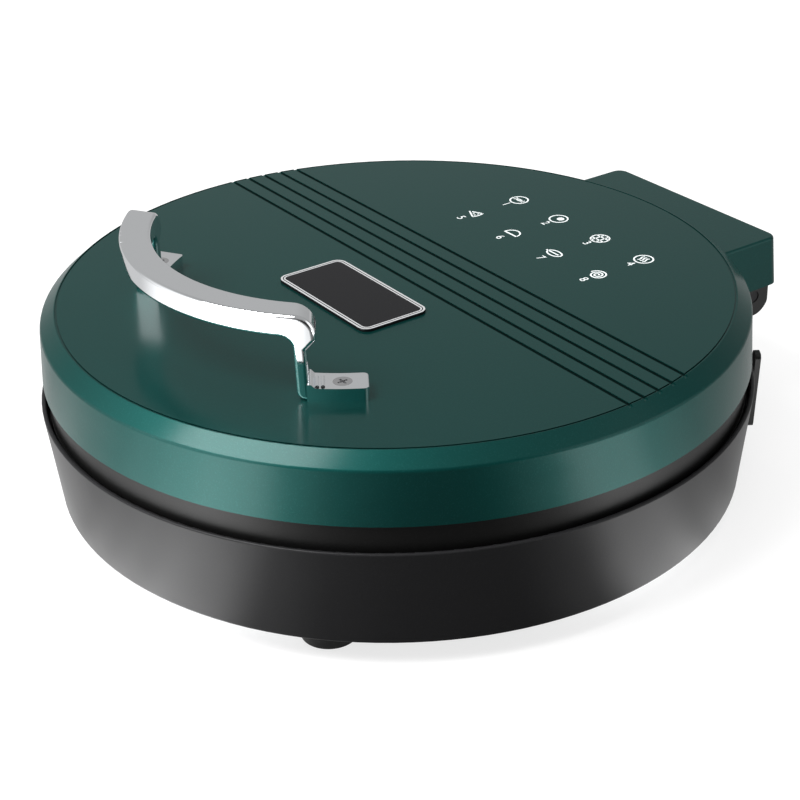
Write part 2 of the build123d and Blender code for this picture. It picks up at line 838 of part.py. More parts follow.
def make_wire_window():
    """Way from the lid's inside into the rear box for the leads."""
    window = terminal_pitch + wire_window_margin
    low = housing_top_z + terminal_way_height - wire_window_drop
    deep = (ring_inner_radius, cover_bottom_radius + fit_gap)
    return block((-window, window), deep, (low, low + wire_window_height))


def drafted_box(front_y, top_z, inset):
    """Body with the rear box's slanted sides and back, each moved inwards by an inset."""
    spread = box_draft * (top_z - box_bottom_z) / box_height
    low_x = box_half_width + box_draft - inset
    low_y = box_back_y + box_draft - inset
    across = outline(
        (-low_x, box_bottom_z),
        (low_x, box_bottom_z),
        (low_x - spread, top_z),
        (spread - low_x, top_z),
    )
    along = outline(
        (front_y, box_bottom_z),
        (low_y, box_bottom_z),
        (low_y - spread, top_z),
        (front_y, top_z),
    )
    body = extrude(Plane.XZ * across, amount=low_y, both=True)
    body &= extrude(Plane.YZ * along, amount=low_x, both=True)
    upright = body.edges().filter_by(lambda edge: abs((edge % 0.5).Z) > 0.9)
    return fillet(upright.group_by(Axis.Y)[-1], box_corner_round - inset)


def make_box():
    """Outside of the rear box, before it is hollowed."""
    front_y = cover_top_radius * cos(radians(30))
    base = drafted_box(front_y, box_top_z, 0)
    top_edges = base.edges().group_by(Axis.Z)[-1]
    return fillet(top_edges.filter_by(lambda edge: edge.center().Y > front_y + 1.0), box_edge_round)


def make_lid_cover():
    """Green cover moulded in one with the rear box, with grooves, pillars and screw holes."""
    top_wall_radius = cover_top_radius - 1.0
    bevel_inner = cover_shoulder_radius - cover_wall
    outer = turned(
        (0, cover_z),
        (cover_bottom_radius, cover_z),
        (cover_shoulder_radius, shoulder_z, cover_shoulder_round),
        (cover_top_radius, lid_top_z, 0.6),
        (0, lid_top_z),
    )
    cavity = turned(
        (0, cover_z),
        (cover_inner_bottom_radius, cover_z),
        (bevel_inner, shoulder_z - 0.5 * cover_wall),
        (top_wall_radius, lid_inner_top_z),
        (0, lid_inner_top_z),
    )
    box_front_y = cover_top_radius * cos(radians(30)) + 1.0
    box_cavity = drafted_box(box_front_y, box_top_z - cover_wall, cover_wall)
    under = disc(cover_bottom_radius, box_bottom_z, cover_z)
    cover = outer + (make_box() - under) - cavity
    cover -= box_cavity - outer
    line_radius = cover_top_radius - 0.4
    line = disc(line_radius, lid_top_z - rim_line_depth, lid_top_z)
    cover -= line - disc(line_radius - rim_line_width, lid_top_z - rim_line_depth, lid_top_z)
    reach = cover_shoulder_radius
    for index in range(groove_count):
        middle = groove_first_y + index * groove_pitch
        cover -= block(
            (-reach, reach),
            (middle - groove_width / 2, middle + groove_width / 2),
            (lid_top_z - groove_depth, lid_top_z),
        )
    for place in around(pillar_circle_radius, ring_screw_count, 0):
        cover += place * disc(pillar_radius, lid_flange_z, lid_top_z - cover_wall / 2)
    for place in around(pillar_circle_radius, ring_screw_count, 0):
        cover -= place * disc(screw_radius, lid_flange_z, lid_flange_z + pillar_hole_depth)
    for x, y in housing_screw_spots():
        cover += Pos(x, y, 0) * disc(pillar_radius, housing_top_z, box_top_z - 1.0)
    for x, y in housing_screw_spots():
        cover -= Pos(x, y, 0) * disc(screw_radius, housing_top_z, housing_top_z + housing_screw_bite)
    for x, y in handle_screw_spots():
        cover -= Pos(x, y, 0) * disc(handle_screw_radius, lid_inner_top_z, lid_top_z)
    for x in (-plate_peg_x, plate_peg_x):
        cover -= Pos(x, plate_centre_y, 0) * disc(plate_peg_radius, lid_inner_top_z, lid_top_z)
    return cover - make_wire_window()


# Hinge: housing on the lid, carriage that floats, block on the base


def housing_screw_spots():
    """Places of the four screws that hold the hinge housing under the rear box."""
    xs = (-housing_screw_x, housing_screw_x)
    return [(x, pivot_y + y) for x in xs for y in (housing_screw_front, housing_screw_rear)]


def housing_screw_seat(y):
    """Height where the head of a housing screw is seated, clear of the hinge pin."""
    if y < pivot_y:
        return rim_z + 2.0 * housing_over_rim
    return pivot_z - pin_radius - housing_screw_shelf


def make_hinge_housing():
    """Black housing under the rear box: two cheeks with hinge barrels and a bridge between them."""
    front_y = base_rim_radius * cos(radians(25))
    under_z = rim_z + housing_over_rim
    profile = outline(
        (front_y, under_z),
        (pivot_y, under_z),
        (pivot_y, pivot_z),
        (housing_back_y, pivot_z),
        (housing_back_y, housing_top_z),
        (front_y, housing_top_z),
    )
    barrel = Pos(pivot_y, pivot_z) * Circle(barrel_radius)
    cheek_width = housing_half_width - cheek_inner_x
    cheek = Pos(cheek_inner_x, 0, 0) * extrude(Plane.YZ * (profile + barrel), amount=cheek_width)
    bridge = block(
        (-cheek_inner_x, cheek_inner_x),
        (front_y, pivot_y + housing_bridge_behind_pivot),
        (housing_top_z - housing_bridge, housing_top_z),
    )
    housing = cheek + mirrored(cheek) + bridge
    room = block(
        (-housing_half_width, housing_half_width),
        (front_y, housing_back_y),
        (pivot_z - barrel_radius, housing_top_z),
    )
    rear_corners = room.edges().filter_by(Axis.Z).group_by(Axis.Y)[-1]
    housing &= fillet(rear_corners, housing_corner_round)
    bore = Rot(0, 90, 0) * Cylinder(pin_radius + pin_clearance, 2 * housing_half_width)
    housing -= Pos(0, pivot_y, pivot_z) * bore
    housing -= disc(cover_bottom_radius + fit_gap, rim_z, housing_top_z)
    for x, y in housing_screw_spots():
        seat = housing_screw_seat(y)
        housing -= Pos(x, y, 0) * disc(screw_radius, seat, housing_top_z)
        housing -= Pos(x, y, 0) * disc(screw_head + screw_hole_gap, pivot_z - barrel_radius, seat)
    for x in (-terminal_screw_x, terminal_screw_x):
        low = housing_top_z - housing_bridge
        housing -= Pos(x, lid_terminal_y(), 0) * disc(screw_radius, low, housing_top_z)
    return housing


def lid_terminal_y():
    """Middle of the terminal block inside the rear box."""
    return cover_bottom_radius + 2 * fit_gap + terminal_depth / 2


def make_carriage():
    """Knuckle on the pin with two slotted legs that slide in the hinge block."""
    across = Pos(0, pivot_y, pivot_z) * Rot(0, 90, 0)
    knuckle = across * Cylinder(knuckle_radius, 2 * knuckle_half_width)
    leg = block(
        (leg_x - leg_width / 2, leg_x + leg_width / 2),
        leg_depth,
        (pivot_z - leg_below_pivot, pivot_z),
    )
    slot_width = 2 * (screw_radius + slide_clearance)
    slot_length = hinge_travel + slot_width + 2 * slide_clearance
    slot_z = pivot_z - stop_screw_below_pivot - hinge_travel / 2
    slot = extrude(SlotOverall(slot_length, slot_width, rotation=90), 2 * leg_thickness, both=True)
    cut = Pos(leg_x, leg_y, slot_z) * Rot(90, 0, 0) * slot
    carriage = knuckle + leg + mirrored(leg) - cut - mirrored(cut)
    return carriage - across * Cylinder(pin_radius, 2 * knuckle_half_width)


def make_hinge_block():
    """Black block on the rear of the base with two guide channels and the inlet's cavity."""
    depth = (block_front_y, block_back_y)
    body = block((-block_half_width, block_half_width), depth, (block_bottom_z, block_top_z))
    shoulder = block((-shoulder_half_width, shoulder_half_width), depth, (block_bottom_z, shoulder_top_z))
    body += fillet(shoulder.edges().filter_by(Axis.Z).group_by(Axis.Y)[-1], block_round)
    guide_half = leg_width / 2 + slide_clearance
    channel = block(
        (leg_x - guide_half, leg_x + guide_half),
        (leg_depth[0] - slide_clearance, leg_depth[1] + slide_clearance),
        (pivot_z - leg_below_pivot - fit_gap, block_top_z),
    )
    body = body - channel - mirrored(channel)
    cavity_z = (inlet_z, inlet_z + inlet_height)
    body -= block((-inlet_half_width, inlet_half_width), depth, cavity_z)
    body -= turned(
        (0, base_z),
        (base_bottom_radius, base_z),
        (base_rim_radius, rim_z),
        (0, rim_z),
    )
    stop_hole = Rot(90, 0, 0) * disc(screw_radius, 0, stop_screw_length())
    stop_z = pivot_z - stop_screw_below_pivot
    for x in (-leg_x, leg_x):
        body -= Pos(x, block_back_y, stop_z) * stop_hole
    for angle in (block_screw_angle, 180 - block_screw_angle):
        for hole in wall_screw_bores(angle, block_screw_heights, block_screw_length):
            body -= hole
    return body


def stop_screw_length():
    """Length of a stop screw, from the block's back through the leg's slot."""
    return block_back_y - leg_depth[0] + slide_clearance + stop_screw_tip


def wall_screws(angle, heights, length):
    """Screws driven outwards through the base wall from inside the shell."""
    one = Rot(0, -90, 0) * screw(length)
    return [Rot(0, 0, angle) * Pos(wall_screw_seat(z), 0, z) * one for z in heights]


def wall_screw_bores(angle, heights, length):
    """Bores that those screws fill in the piece outside the wall."""
    bore = Rot(0, 90, 0) * disc(screw_radius, 0, length)
    return [Rot(0, 0, angle) * Pos(wall_screw_seat(z), 0, z) * bore for z in heights]


def save_hinge():
    """Housing, pin, floating carriage, block and their screws."""
    save("hinge_housing", make_hinge_housing())
    half_pin = housing_half_width - pin_recess
    across = Pos(0, pivot_y, pivot_z) * Rot(0, 90, 0)
    save("hinge_pin", across * Cylinder(pin_radius, 2 * half_pin))
    save("hinge_carriage", make_carriage())
    save("hinge_block", make_hinge_block())
    right = wall_screws(block_screw_angle, block_screw_heights, block_screw_length)
    left = wall_screws(180 - block_screw_angle, block_screw_heights, block_screw_length)
    save("hinge_block_screws", *right, *left)
    stop_z = pivot_z - stop_screw_below_pivot
    stop = Pos(leg_x, block_back_y, stop_z) * Rot(-90, 0, 0) * screw(stop_screw_length())
    save("carriage_stop_screws", *both_sides(stop))
    from_below = []
    for x, y in housing_screw_spots():
        seat = housing_screw_seat(y)
        one = Rot(180, 0, 0) * screw(housing_top_z + housing_screw_bite - seat)
        from_below.append(Pos(x, y, seat) * one)
    save("hinge_housing_screws", *from_below)
    lid_block = Pos(0, lid_terminal_y(), 0) * make_terminal_block(housing_top_z)
    save("lid_terminal_block", lid_block)
    save("lid_terminal_screws", *terminal_screws(lid_terminal_y(), housing_top_z, housing_bridge))


# Appliance inlet and rear posts


def make_inlet():
    """Panel inlet with a socket, its three pins and the terminals inside the base."""
    front_y = block_back_y - inlet_depth
    middle_z = inlet_z + inlet_height / 2
    body = block(
        (-inlet_half_width, inlet_half_width),
        (front_y, block_back_y),
        (inlet_z, inlet_z + inlet_height),
    )
    frame = block(
        (-inlet_half_width - inlet_flange, inlet_half_width + inlet_flange),
        (block_back_y, block_back_y + inlet_flange),
        (inlet_z - inlet_flange, inlet_z + inlet_height + inlet_flange),
    )
    body += fillet(frame.edges().filter_by(Axis.Y), 2.5)
    socket = outline(
        (-inlet_socket_half_width, -inlet_socket_height / 2, 2.0),
        (inlet_socket_half_width, -inlet_socket_height / 2, 2.0),
        (inlet_socket_half_width, inlet_socket_height / 2 - inlet_socket_corner),
        (inlet_socket_half_width - inlet_socket_corner, inlet_socket_height / 2),
        (inlet_socket_corner - inlet_socket_half_width, inlet_socket_height / 2),
        (-inlet_socket_half_width, inlet_socket_height / 2 - inlet_socket_corner),
    )
    mouth = Pos(0, block_back_y + inlet_flange, middle_z) * (Plane.XZ * extrude(socket, inlet_socket_depth))
    body -= mouth
    pins = []
    for side, height in inlet_pin_spots:
        x = side * inlet_pin_pitch
        z = middle_z + height
        across = (x - inlet_pin_half_thickness, x + inlet_pin_half_thickness)
        along = (front_y - inlet_pin_tail, block_back_y - 1.0)
        pin = block(across, along, (z - inlet_pin_half_height, z + inlet_pin_half_height))
        body -= pin
        pins.append(pin)
    return body, pins


def wall_offset(low_distance, high_distance):
    """Cone outside the base wall, at one distance from its foot and another from its rim."""
    return turned(
        (0, base_z),
        (base_bottom_radius + low_distance, base_z),
        (base_rim_radius + high_distance, rim_z),
        (0, rim_z),
    )


def make_post():
    """Upright bar on a stem, one of the pair at the rear that the cord is wound round."""
    low = base_z + post_above_base
    high = rim_z - post_below_rim
    reach = widest_base + 2 * (post_low_gap + post_thickness)
    face = Pos(0, (low + high) / 2) * RectangleRounded(2 * post_half_width, high - low, post_corner_round)
    inside = wall_offset(post_low_gap, post_high_gap)
    outside = wall_offset(post_low_gap + post_thickness, post_high_gap + post_thickness)
    bar = (outside - inside) & extrude(Plane.YZ * face, amount=reach)
    stem_face = Pos(0, stem_z) * RectangleRounded(2 * stem_half_width, 2 * stem_half_height, 3.0)
    stem = extrude(Plane.YZ * stem_face, amount=reach)
    half = post_thickness / 2
    stem = (stem & wall_offset(post_low_gap + half, post_high_gap + half)) - wall_offset(0, 0)
    post = Rot(0, 0, post_angle) * (bar + stem)
    for bore in wall_screw_bores(post_angle, post_screw_heights, post_screw_length):
        post -= bore
    return post


def save_rear():
    """Inlet, its pins, the two cord posts and their screws."""
    body, pins = make_inlet()
    save("power_inlet", body)
    save("inlet_pins", *pins)
    post = make_post()
    save("cord_post_right", post)
    save("cord_post_left", mirrored(post))
    screws = wall_screws(post_angle, post_screw_heights, post_screw_length)
    save("cord_post_screws", *screws, *[mirrored(one) for one in screws])


# Handle and nameplate


def handle_frame():
    """Place at the handle's arc centre, its x axis along the right tab."""
    return Pos(0, handle_arc_centre_y, lid_top_z) * Rot(0, 0, handle_tangent_angle)


def handle_screw_spots():
    """Places of the two handle screws on the lid."""
    spot = (handle_frame() * Pos(handle_tab_screw, -handle_arc_radius, 0)).position
    return [(-spot.X, spot.Y), (spot.X, spot.Y)]


def handle_slice(band, side):
    """Piece of the handle with a given outline in plan and from the side."""
    piece = extrude(band, handle_height) & extrude(Plane.XZ * side, handle_arc_radius + 2 * handle_width)
    return handle_frame() * piece


def beside_strap(edge):
    """Whether an edge runs along the inner or outer side of the handle's arc."""
    middle = edge @ 0.5
    distance = Vector(middle.X, middle.Y - handle_arc_centre_y, 0).length
    return abs(abs(distance - handle_arc_radius) - handle_width / 2) < 0.01


def make_strap(band, reach):
    """Grip and legs, with all their long edges rounded."""
    grip_low = handle_height - grip_depth
    foot_out = handle_leg_foot + handle_strap / 2
    top_out = foot_out - handle_leg_lean
    taper_z = handle_height - handle_shoulder_drop
    side = outline(
        (-reach, handle_height),
        (top_out + handle_shoulder, handle_height, handle_top_round),
        (top_out + handle_shoulder, taper_z),
        (top_out, taper_z - handle_shoulder_taper),
        (foot_out, 0),
        (foot_out - handle_strap, 0, handle_heel_round),
        (top_out - handle_strap, grip_low, handle_inner_round),
        (-reach, grip_low),
    )
    half = handle_slice(band, side)
    half &= block((0, reach), (-reach, reach), (lid_top_z, lid_top_z + handle_height))
    strap = half + mirrored(half)
    return fillet(strap.edges().filter_by(beside_strap), handle_edge_round)


def make_handle_tab(band):
    """Right tab, its toe against the leg and two small ribs across it."""
    tab_band = band + Pos(handle_tab_end / 2, -handle_arc_radius) * Rectangle(handle_tab_end, handle_width)
    tab_band = fillet(tab_band.vertices().group_by(Axis.X)[-1], handle_tab_round)
    foot_out = handle_leg_foot + handle_strap / 2
    inside_leg = foot_out - handle_edge_round
    side = outline(
        (inside_leg, 0),
        (handle_tab_end, 0),
        (handle_tab_end, handle_tab_thickness, handle_tab_edge_round),
        (foot_out + handle_toe, handle_tab_thickness),
        (foot_out, handle_tab_thickness + handle_toe),
        (inside_leg, handle_tab_thickness + handle_toe),
    )
    tab = handle_slice(tab_band, side)
    for along in handle_rib_spots:
        rib = Rot(90, 0, 0) * Cylinder(handle_rib_radius, handle_width - 2 * handle_tab_round)
        tab += handle_frame() * (Pos(along, -handle_arc_radius, handle_tab_thickness) * rib)
    return tab


def make_handle():
    """Strap that follows an arc in plan: grip, two legs and two screwed tabs."""
    inner = handle_arc_radius - handle_width / 2
    outer = handle_arc_radius + handle_width / 2
    reach = 2 * outer
    band = (Circle(outer) - Circle(inner)) & (Pos(-reach / 2, 0) * Rectangle(reach, 2 * reach))
    tab = make_handle_tab(band)
    handle = make_strap(band, reach) + tab + mirrored(tab)
    for x, y in handle_screw_spots():
        seat = Pos(x, y, lid_top_z + handle_tab_thickness)
        handle -= seat * flush_hole(handle_tab_thickness, handle_screw_radius, handle_screw_head)
    return handle


def make_nameplate():
    """Bare plate with rounded corners and two pegs in the lid."""
    face = RectangleRounded(plate_length, plate_depth, plate_round)
    plate = extrude(face, plate_height)
    plate = chamfer(plate.edges().group_by(Axis.Z)[-1], 0.3)
    for x in (-plate_peg_x, plate_peg_x):
        plate += Pos(x, 0, 0) * disc(plate_peg_radius, -cover_wall, 0)
    return Pos(0, plate_centre_y, lid_top_z) * plate


def save_lid():
    """Cover, ring, handle, nameplate and their fasteners."""
    save("lid_cover", make_lid_cover())
    save("lid_ring", make_lid_ring())
    ring_screw = Rot(180, 0, 0) * flush_screw(lid_ring_flange + lid_ring_screw_bite)
    places = around(pillar_circle_radius, ring_screw_count, 0)
    save("lid_ring_screws", *[place * Pos(0, 0, upper_seat_z) * ring_screw for place in places])
    save("handle", make_handle())
    nut_height = 1.6 * handle_screw_radius
    length = handle_tab_thickness + cover_wall + nut_height + 1.5
    one = flush_screw(length, handle_screw_radius, handle_screw_head)
    seat = lid_top_z + handle_tab_thickness
    save("handle_screws", *[Pos(x, y, seat) * one for x, y in handle_screw_spots()])
    nut = hex_nut(handle_screw_radius, nut_height)
    nut_z = lid_inner_top_z - nut_height
    save("handle_nuts", *[Pos(x, y, nut_z) * nut for x, y in handle_screw_spots()])
    save("nameplate", make_nameplate())


# Leads


def set_leads(dish_depth, way_y, way_height, run_height):
    """Leads of one heater set: terminal block, thermostat, fuse and the tube's two cold ends."""
    pin_x, pin_y, tip = tube_leg_place(dish_depth)
    pin_height = tip - cold_pin_length / 2
    run = way_y - pin_y
    bend_y = way_y - 0.25 * run
    _, back = tray_heights(dish_depth)
    tab_x = thermostat_tab_x
    tab_tip = back + thermostat_height + thermostat_neck_height + thermostat_tab_length
    fuse_x = fuse_length / 2 + fuse_tail
    fuse_z = fuse_height(dish_depth)
    way_x = terminal_pitch
    return [
        lead(
            (way_x, way_y, way_height),
            (way_x, bend_y, way_height),
            (pin_x, pin_y + 0.35 * run, pin_height),
            (pin_x, pin_y + cold_pin_radius, pin_height),
        ),
        lead(
            (-way_x, way_y, way_height),
            (-way_x, bend_y, way_height),
            (-way_x, pin_y, run_height),
            (-tab_x, lead_tab_run, run_height),
            (-tab_x, 0.0, run_height),
            (-tab_x, 0.0, tab_tip),
        ),
        lead(
            (tab_x, 0.0, tab_tip),
            (tab_x, 0.0, run_height),
            (*lead_crossing, run_height),
            (*lead_fuse_turn, run_height),
            (lead_fuse_turn[0], -fuse_offset, fuse_z),
            (fuse_x, -fuse_offset, fuse_z),
        ),
        lead(
            (-fuse_x, -fuse_offset, fuse_z),
            (-lead_fuse_turn[0], -fuse_offset, fuse_z),
            (-lead_return_x, lead_fuse_turn[1], run_height),
            (-lead_return_x, lead_return_y, run_height),
            (-lead_pin_run, pin_y, pin_height),
            (-pin_x - cold_pin_radius, pin_y, pin_height),
        ),
    ]


def inlet_leads():
    """Leads from the inlet's pins to the terminal block in the base."""
    inlet_y = block_back_y - inlet_depth - inlet_pin_tail
    block_y = terminal_y + terminal_depth / 2
    way_z = plate_top_z + terminal_way_height
    run = inlet_y - block_y
    leads = []
    for side, height in inlet_pin_spots:
        pin_x = side * inlet_pin_pitch
        way_x = side * terminal_pitch
        pin_z = inlet_z + inlet_height / 2 + height
        leads.append(
            lead(
                (pin_x, inlet_y, pin_z),
                (pin_x, inlet_y - 0.3 * run, pin_z),
                (way_x, block_y + 0.3 * run, way_z),
                (way_x, block_y, way_z),
            )
        )
    return leads


def save_leads():
    """Leads in the base and in the lid."""
    low_way = lower_seat_z - plate_top_z - terminal_way_height
    low_run = lower_seat_z - plate_top_z - lead_run_above_plate
    low_leads = set_leads(lower_dish_depth, terminal_y - terminal_depth / 2, low_way, low_run)
    save("base_leads", *[in_base(one) for one in low_leads], *inlet_leads())
    high_way = housing_top_z + terminal_way_height - upper_seat_z
    high_run = lid_inner_top_z - 2 * lead_run_above_plate - upper_seat_z
    high_leads = set_leads(upper_dish_depth, lid_terminal_y() - terminal_depth / 2, high_way, high_run)
    save("lid_leads", *[in_lid(one) for one in high_leads])


save_base()
save_base_ring()
save_heater_set("lower", lower_dish_depth, base_ring_thickness + ledge_thickness, in_base)
save_heater_set("upper", upper_dish_depth, lid_ring_flange, in_lid)
save_lid()
save_hinge()
save_rear()
save_leads()
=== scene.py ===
# %% [markdown]
# # An electric baking pan, dressed for a studio picture
#
# The pan is a low black drum on rubber feet with a dark green lid. A chrome strap handle is
# screwed to the lid, five fine grooves run across it, and a box at the back hides the hinge.
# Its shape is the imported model's, which is loaded first and never moved. This script adds the
# finishes, the print on the lid and the light.

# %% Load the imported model
import json
from math import cos, pi, radians, sin

import bmesh
import bpy
import numpy as np
from mathutils import Matrix, Vector


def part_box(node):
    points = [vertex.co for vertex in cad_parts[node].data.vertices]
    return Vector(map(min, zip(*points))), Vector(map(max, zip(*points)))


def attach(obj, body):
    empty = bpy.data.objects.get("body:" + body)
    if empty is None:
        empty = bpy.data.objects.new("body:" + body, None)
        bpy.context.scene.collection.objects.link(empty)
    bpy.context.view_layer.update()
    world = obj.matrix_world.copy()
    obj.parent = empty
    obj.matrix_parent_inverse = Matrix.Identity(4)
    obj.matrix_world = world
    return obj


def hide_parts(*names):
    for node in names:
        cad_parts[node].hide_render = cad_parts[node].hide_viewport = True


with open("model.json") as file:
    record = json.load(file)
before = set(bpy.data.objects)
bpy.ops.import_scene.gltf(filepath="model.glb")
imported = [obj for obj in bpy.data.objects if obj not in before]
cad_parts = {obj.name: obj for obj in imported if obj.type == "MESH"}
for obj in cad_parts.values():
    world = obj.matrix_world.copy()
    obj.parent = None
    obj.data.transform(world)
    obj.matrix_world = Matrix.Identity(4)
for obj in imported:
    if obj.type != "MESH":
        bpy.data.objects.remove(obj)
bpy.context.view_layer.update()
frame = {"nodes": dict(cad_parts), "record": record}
packed = frame["nodes"]
record = frame["record"]
slot_of = {part["node"]: part["material_slot"] for part in record["subparts"]}
body_of = {name: body for body, names in record["behaviour"]["bodies"].items() for name in names}

# %% [markdown]
# The pan is round, so most places are easiest to give from its upright axis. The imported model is
# centred on its whole footprint, hinge included, which puts that axis a little in front of zero.
# The base ring is a plain ring, so the middle of its box is the axis. The nameplate stands a
# little proud of the lid's flat top, and its own height gives the level of that top.

# %% The pan's axis and main heights
MM = 0.001
PLATE_HEIGHT = 1.3 * MM

ring_low, ring_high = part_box("base_ring")
plate_low, plate_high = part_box("nameplate")
axis_y = (ring_low.y + ring_high.y) / 2
lid_top = plate_high.z - PLATE_HEIGHT
print("axis y", round(axis_y, 5), "lid top", round(lid_top, 5))

# %% [markdown]
# The camera looks down at 30 degrees from the right of the handle. Its distance and lens were
# found by matching the round edges of the pan: the rim, the shoulder of the lid and the foot of
# the base are circles of known size, so their ellipses fix where the camera stands.

# %% Camera
CAMERA_AZIMUTH = radians(55.53)
CAMERA_ELEVATION = radians(30.03)
CAMERA_DISTANCE = 929.9 * MM
CAMERA_AIM_HEIGHT = 4 * MM
CAMERA_PAN = radians(-0.05)
CAMERA_TILT = radians(1.89)
CAMERA_ROLL = radians(-1.6)
CAMERA_LENS = 85.1
SENSOR_WIDTH = 36
NEAREST_SEEN = 10 * MM


def camera_matrix():
    """Stand at the azimuth and elevation, facing the axis, then pan, tilt and roll in that order."""
    a, e = CAMERA_AZIMUTH, CAMERA_ELEVATION
    back = Vector((sin(a) * cos(e), -cos(a) * cos(e), sin(e)))
    right = Vector((cos(a), sin(a), 0))
    place = back * CAMERA_DISTANCE + Vector((0, axis_y, CAMERA_AIM_HEIGHT))
    up = back.cross(right)
    turn = Matrix.Rotation(CAMERA_PAN, 3, up)
    back, right = turn @ back, turn @ right
    turn = Matrix.Rotation(CAMERA_TILT, 3, right)
    back, up = turn @ back, turn @ up
    turn = Matrix.Rotation(CAMERA_ROLL, 3, back)
    right, up = turn @ right, turn @ up
    columns = Matrix((right, up, back)).transposed()
    return Matrix.Translation(place) @ columns.to_4x4()


camera = bpy.data.objects.new("camera", bpy.data.cameras.new("camera"))
camera.data.lens = CAMERA_LENS
camera.data.sensor_width = SENSOR_WIDTH
camera.data.clip_start = NEAREST_SEEN
camera.matrix_world = camera_matrix()
bpy.context.scene.collection.objects.link(camera)
bpy.context.scene.camera = camera
bpy.context.scene.view_settings.view_transform = "Standard"
print("camera at", [round(value, 4) for value in camera.matrix_world.translation])

# %% [markdown]
# Shader trees are the same few steps again and again: make a node, set its inputs, link it. A
# few small helpers keep the materials below short enough to read as recipes. The first two do
# those steps for any node.

# %% Nodes and their inputs


def add(tree, kind, **inputs):
    """Add a node and set or link its inputs. Names use underscores where the socket has spaces."""
    node = tree.nodes.new(kind)
    for name, value in inputs.items():
        feed(tree, node.inputs[name.replace("_", " ")], value)
    return node


def feed(tree, socket, value):
    """Link a socket to another, or set it to a plain value."""
    if isinstance(value, bpy.types.NodeSocket):
        tree.links.new(value, socket)
    else:
        socket.default_value = value


print("node helpers", add.__name__, feed.__name__)

# %% [markdown]
# The others give back the socket that holds a result, so that one can go straight into the next,
# as in a written formula.

# %% Sums, mixes, places and colours


def maths(tree, operation, *values, clamp=False):
    """A Math node's result."""
    node = tree.nodes.new("ShaderNodeMath")
    node.operation = operation
    node.use_clamp = clamp
    for socket, value in zip(node.inputs, values):
        feed(tree, socket, value)
    return node.outputs[0]


def vector_maths(tree, operation, first, second, result="Vector"):
    """A Vector Math node's result, which is a number where result is Value."""
    node = tree.nodes.new("ShaderNodeVectorMath")
    node.operation = operation
    feed(tree, node.inputs[0], first)
    feed(tree, node.inputs[1], second)
    return node.outputs[result]


def between(tree, value, low, high, out_low=0.0, out_high=1.0):
    """Map a value from one range to another, smoothly and without leaving it."""
    node = add(tree, "ShaderNodeMapRange", Value=value, From_Min=low, From_Max=high)
    node.interpolation_type = "SMOOTHSTEP"
    feed(tree, node.inputs["To Min"], out_low)
    feed(tree, node.inputs["To Max"], out_high)
    return node.outputs[0]


def mix(tree, share, first, second, kind="FLOAT"):
    """Mix two numbers by a share, or two colours where kind is RGBA."""
    node = tree.nodes.new("ShaderNodeMix")
    node.data_type = kind
    feed(tree, node.inputs["Factor"], share)
    feed(tree, node.inputs["A"], first)
    feed(tree, node.inputs["B"], second)
    return node.outputs["Result"]


def object_place(tree):
    """Place on the piece, in its own coordinates, so that a pattern stays fixed to it."""
    return tree.nodes.new("ShaderNodeTexCoord").outputs["Object"]


def rgb(*values):
    """Four numbers for a colour socket."""
    return (*values, 1.0)


BLACK = rgb(0, 0, 0)
WHITE = rgb(1, 1, 1)
print("black and white", BLACK, WHITE)

# %% [markdown]
# A glossy round drum shows what stands around it as upright bands. In a studio, black cards lie
# before it and two pale strips stand beside them, so that the drum has a dark front between two
# soft bright bands, which is what makes it look round. Here that surrounding is a list of levels
# by bearing, in degrees round the pan's axis, and a colour ramp turns it into a soft curve.

# %% Surroundings by bearing
FRONT_AZIMUTH = 55.5


def toward(azimuth, elevation=0.0):
    """Unit vector that points from the axis at an azimuth, counted as the camera's is."""
    a, e = radians(azimuth), radians(elevation)
    return Vector((sin(a) * cos(e), -cos(a) * cos(e), sin(e)))


def level_by_bearing(tree, place, stops):
    """Level at a place's bearing from the front, read from stops of (degrees, level).

    The ramp holds shares of the brightest level, because a ramp's colours end at 1."""
    peak = max(level for _, level in stops)
    forward = vector_maths(tree, "DOT_PRODUCT", place, toward(FRONT_AZIMUTH), "Value")
    sideways = vector_maths(tree, "DOT_PRODUCT", place, toward(FRONT_AZIMUTH + 90), "Value")
    bearing = maths(tree, "ARCTAN2", sideways, forward)
    share = maths(tree, "MULTIPLY_ADD", bearing, 0.5 / pi, 0.5)
    node = add(tree, "ShaderNodeValToRGB", Fac=share)
    node.color_ramp.interpolation = "EASE"
    while len(node.color_ramp.elements) < len(stops):
        node.color_ramp.elements.new(0.5)
    for element, (degrees, level) in zip(node.color_ramp.elements, stops):
        element.position = degrees / 360 + 0.5
        element.color = rgb(level / peak, level / peak, level / peak)
    return maths(tree, "MULTIPLY", node.outputs["Color"], peak)


def reflected_rays(tree):
    """Two numbers: 1 for rays off a gloss or through glass, and 1 for the camera's own rays."""
    path = tree.nodes.new("ShaderNodeLightPath").outputs
    glossy = maths(tree, "ADD", path["Is Glossy Ray"], path["Is Transmission Ray"], clamp=True)
    return glossy, path["Is Camera Ray"]


print("front", [round(value, 3) for value in toward(FRONT_AZIMUTH)])

# %% [markdown]
# The floor is white paper to the eye: part of it is glow, and the rest is lamp light, which the
# pan can shade. Reflected rays see the black cards and the strips on it instead.

# %% Floor
FLOOR_REACH = 6.0
FLOOR_PAPER = 0.32
FLOOR_GLOW = 0.74
FLOOR_STOPS = [
    (-180, 0.5), (-110, 0.6), (-88, 1.2), (-72, 1.4), (-62, 2.4), (-52, 4.0), (-44, 6.0),
    (-35, 5.5), (-24, 1.2), (-12, 0.35), (0, 0.15), (20, 0.12), (34, 0.8), (44, 3.8),
    (54, 3.2), (64, 1.3), (80, 0.7), (120, 0.4), (180, 0.5),
]


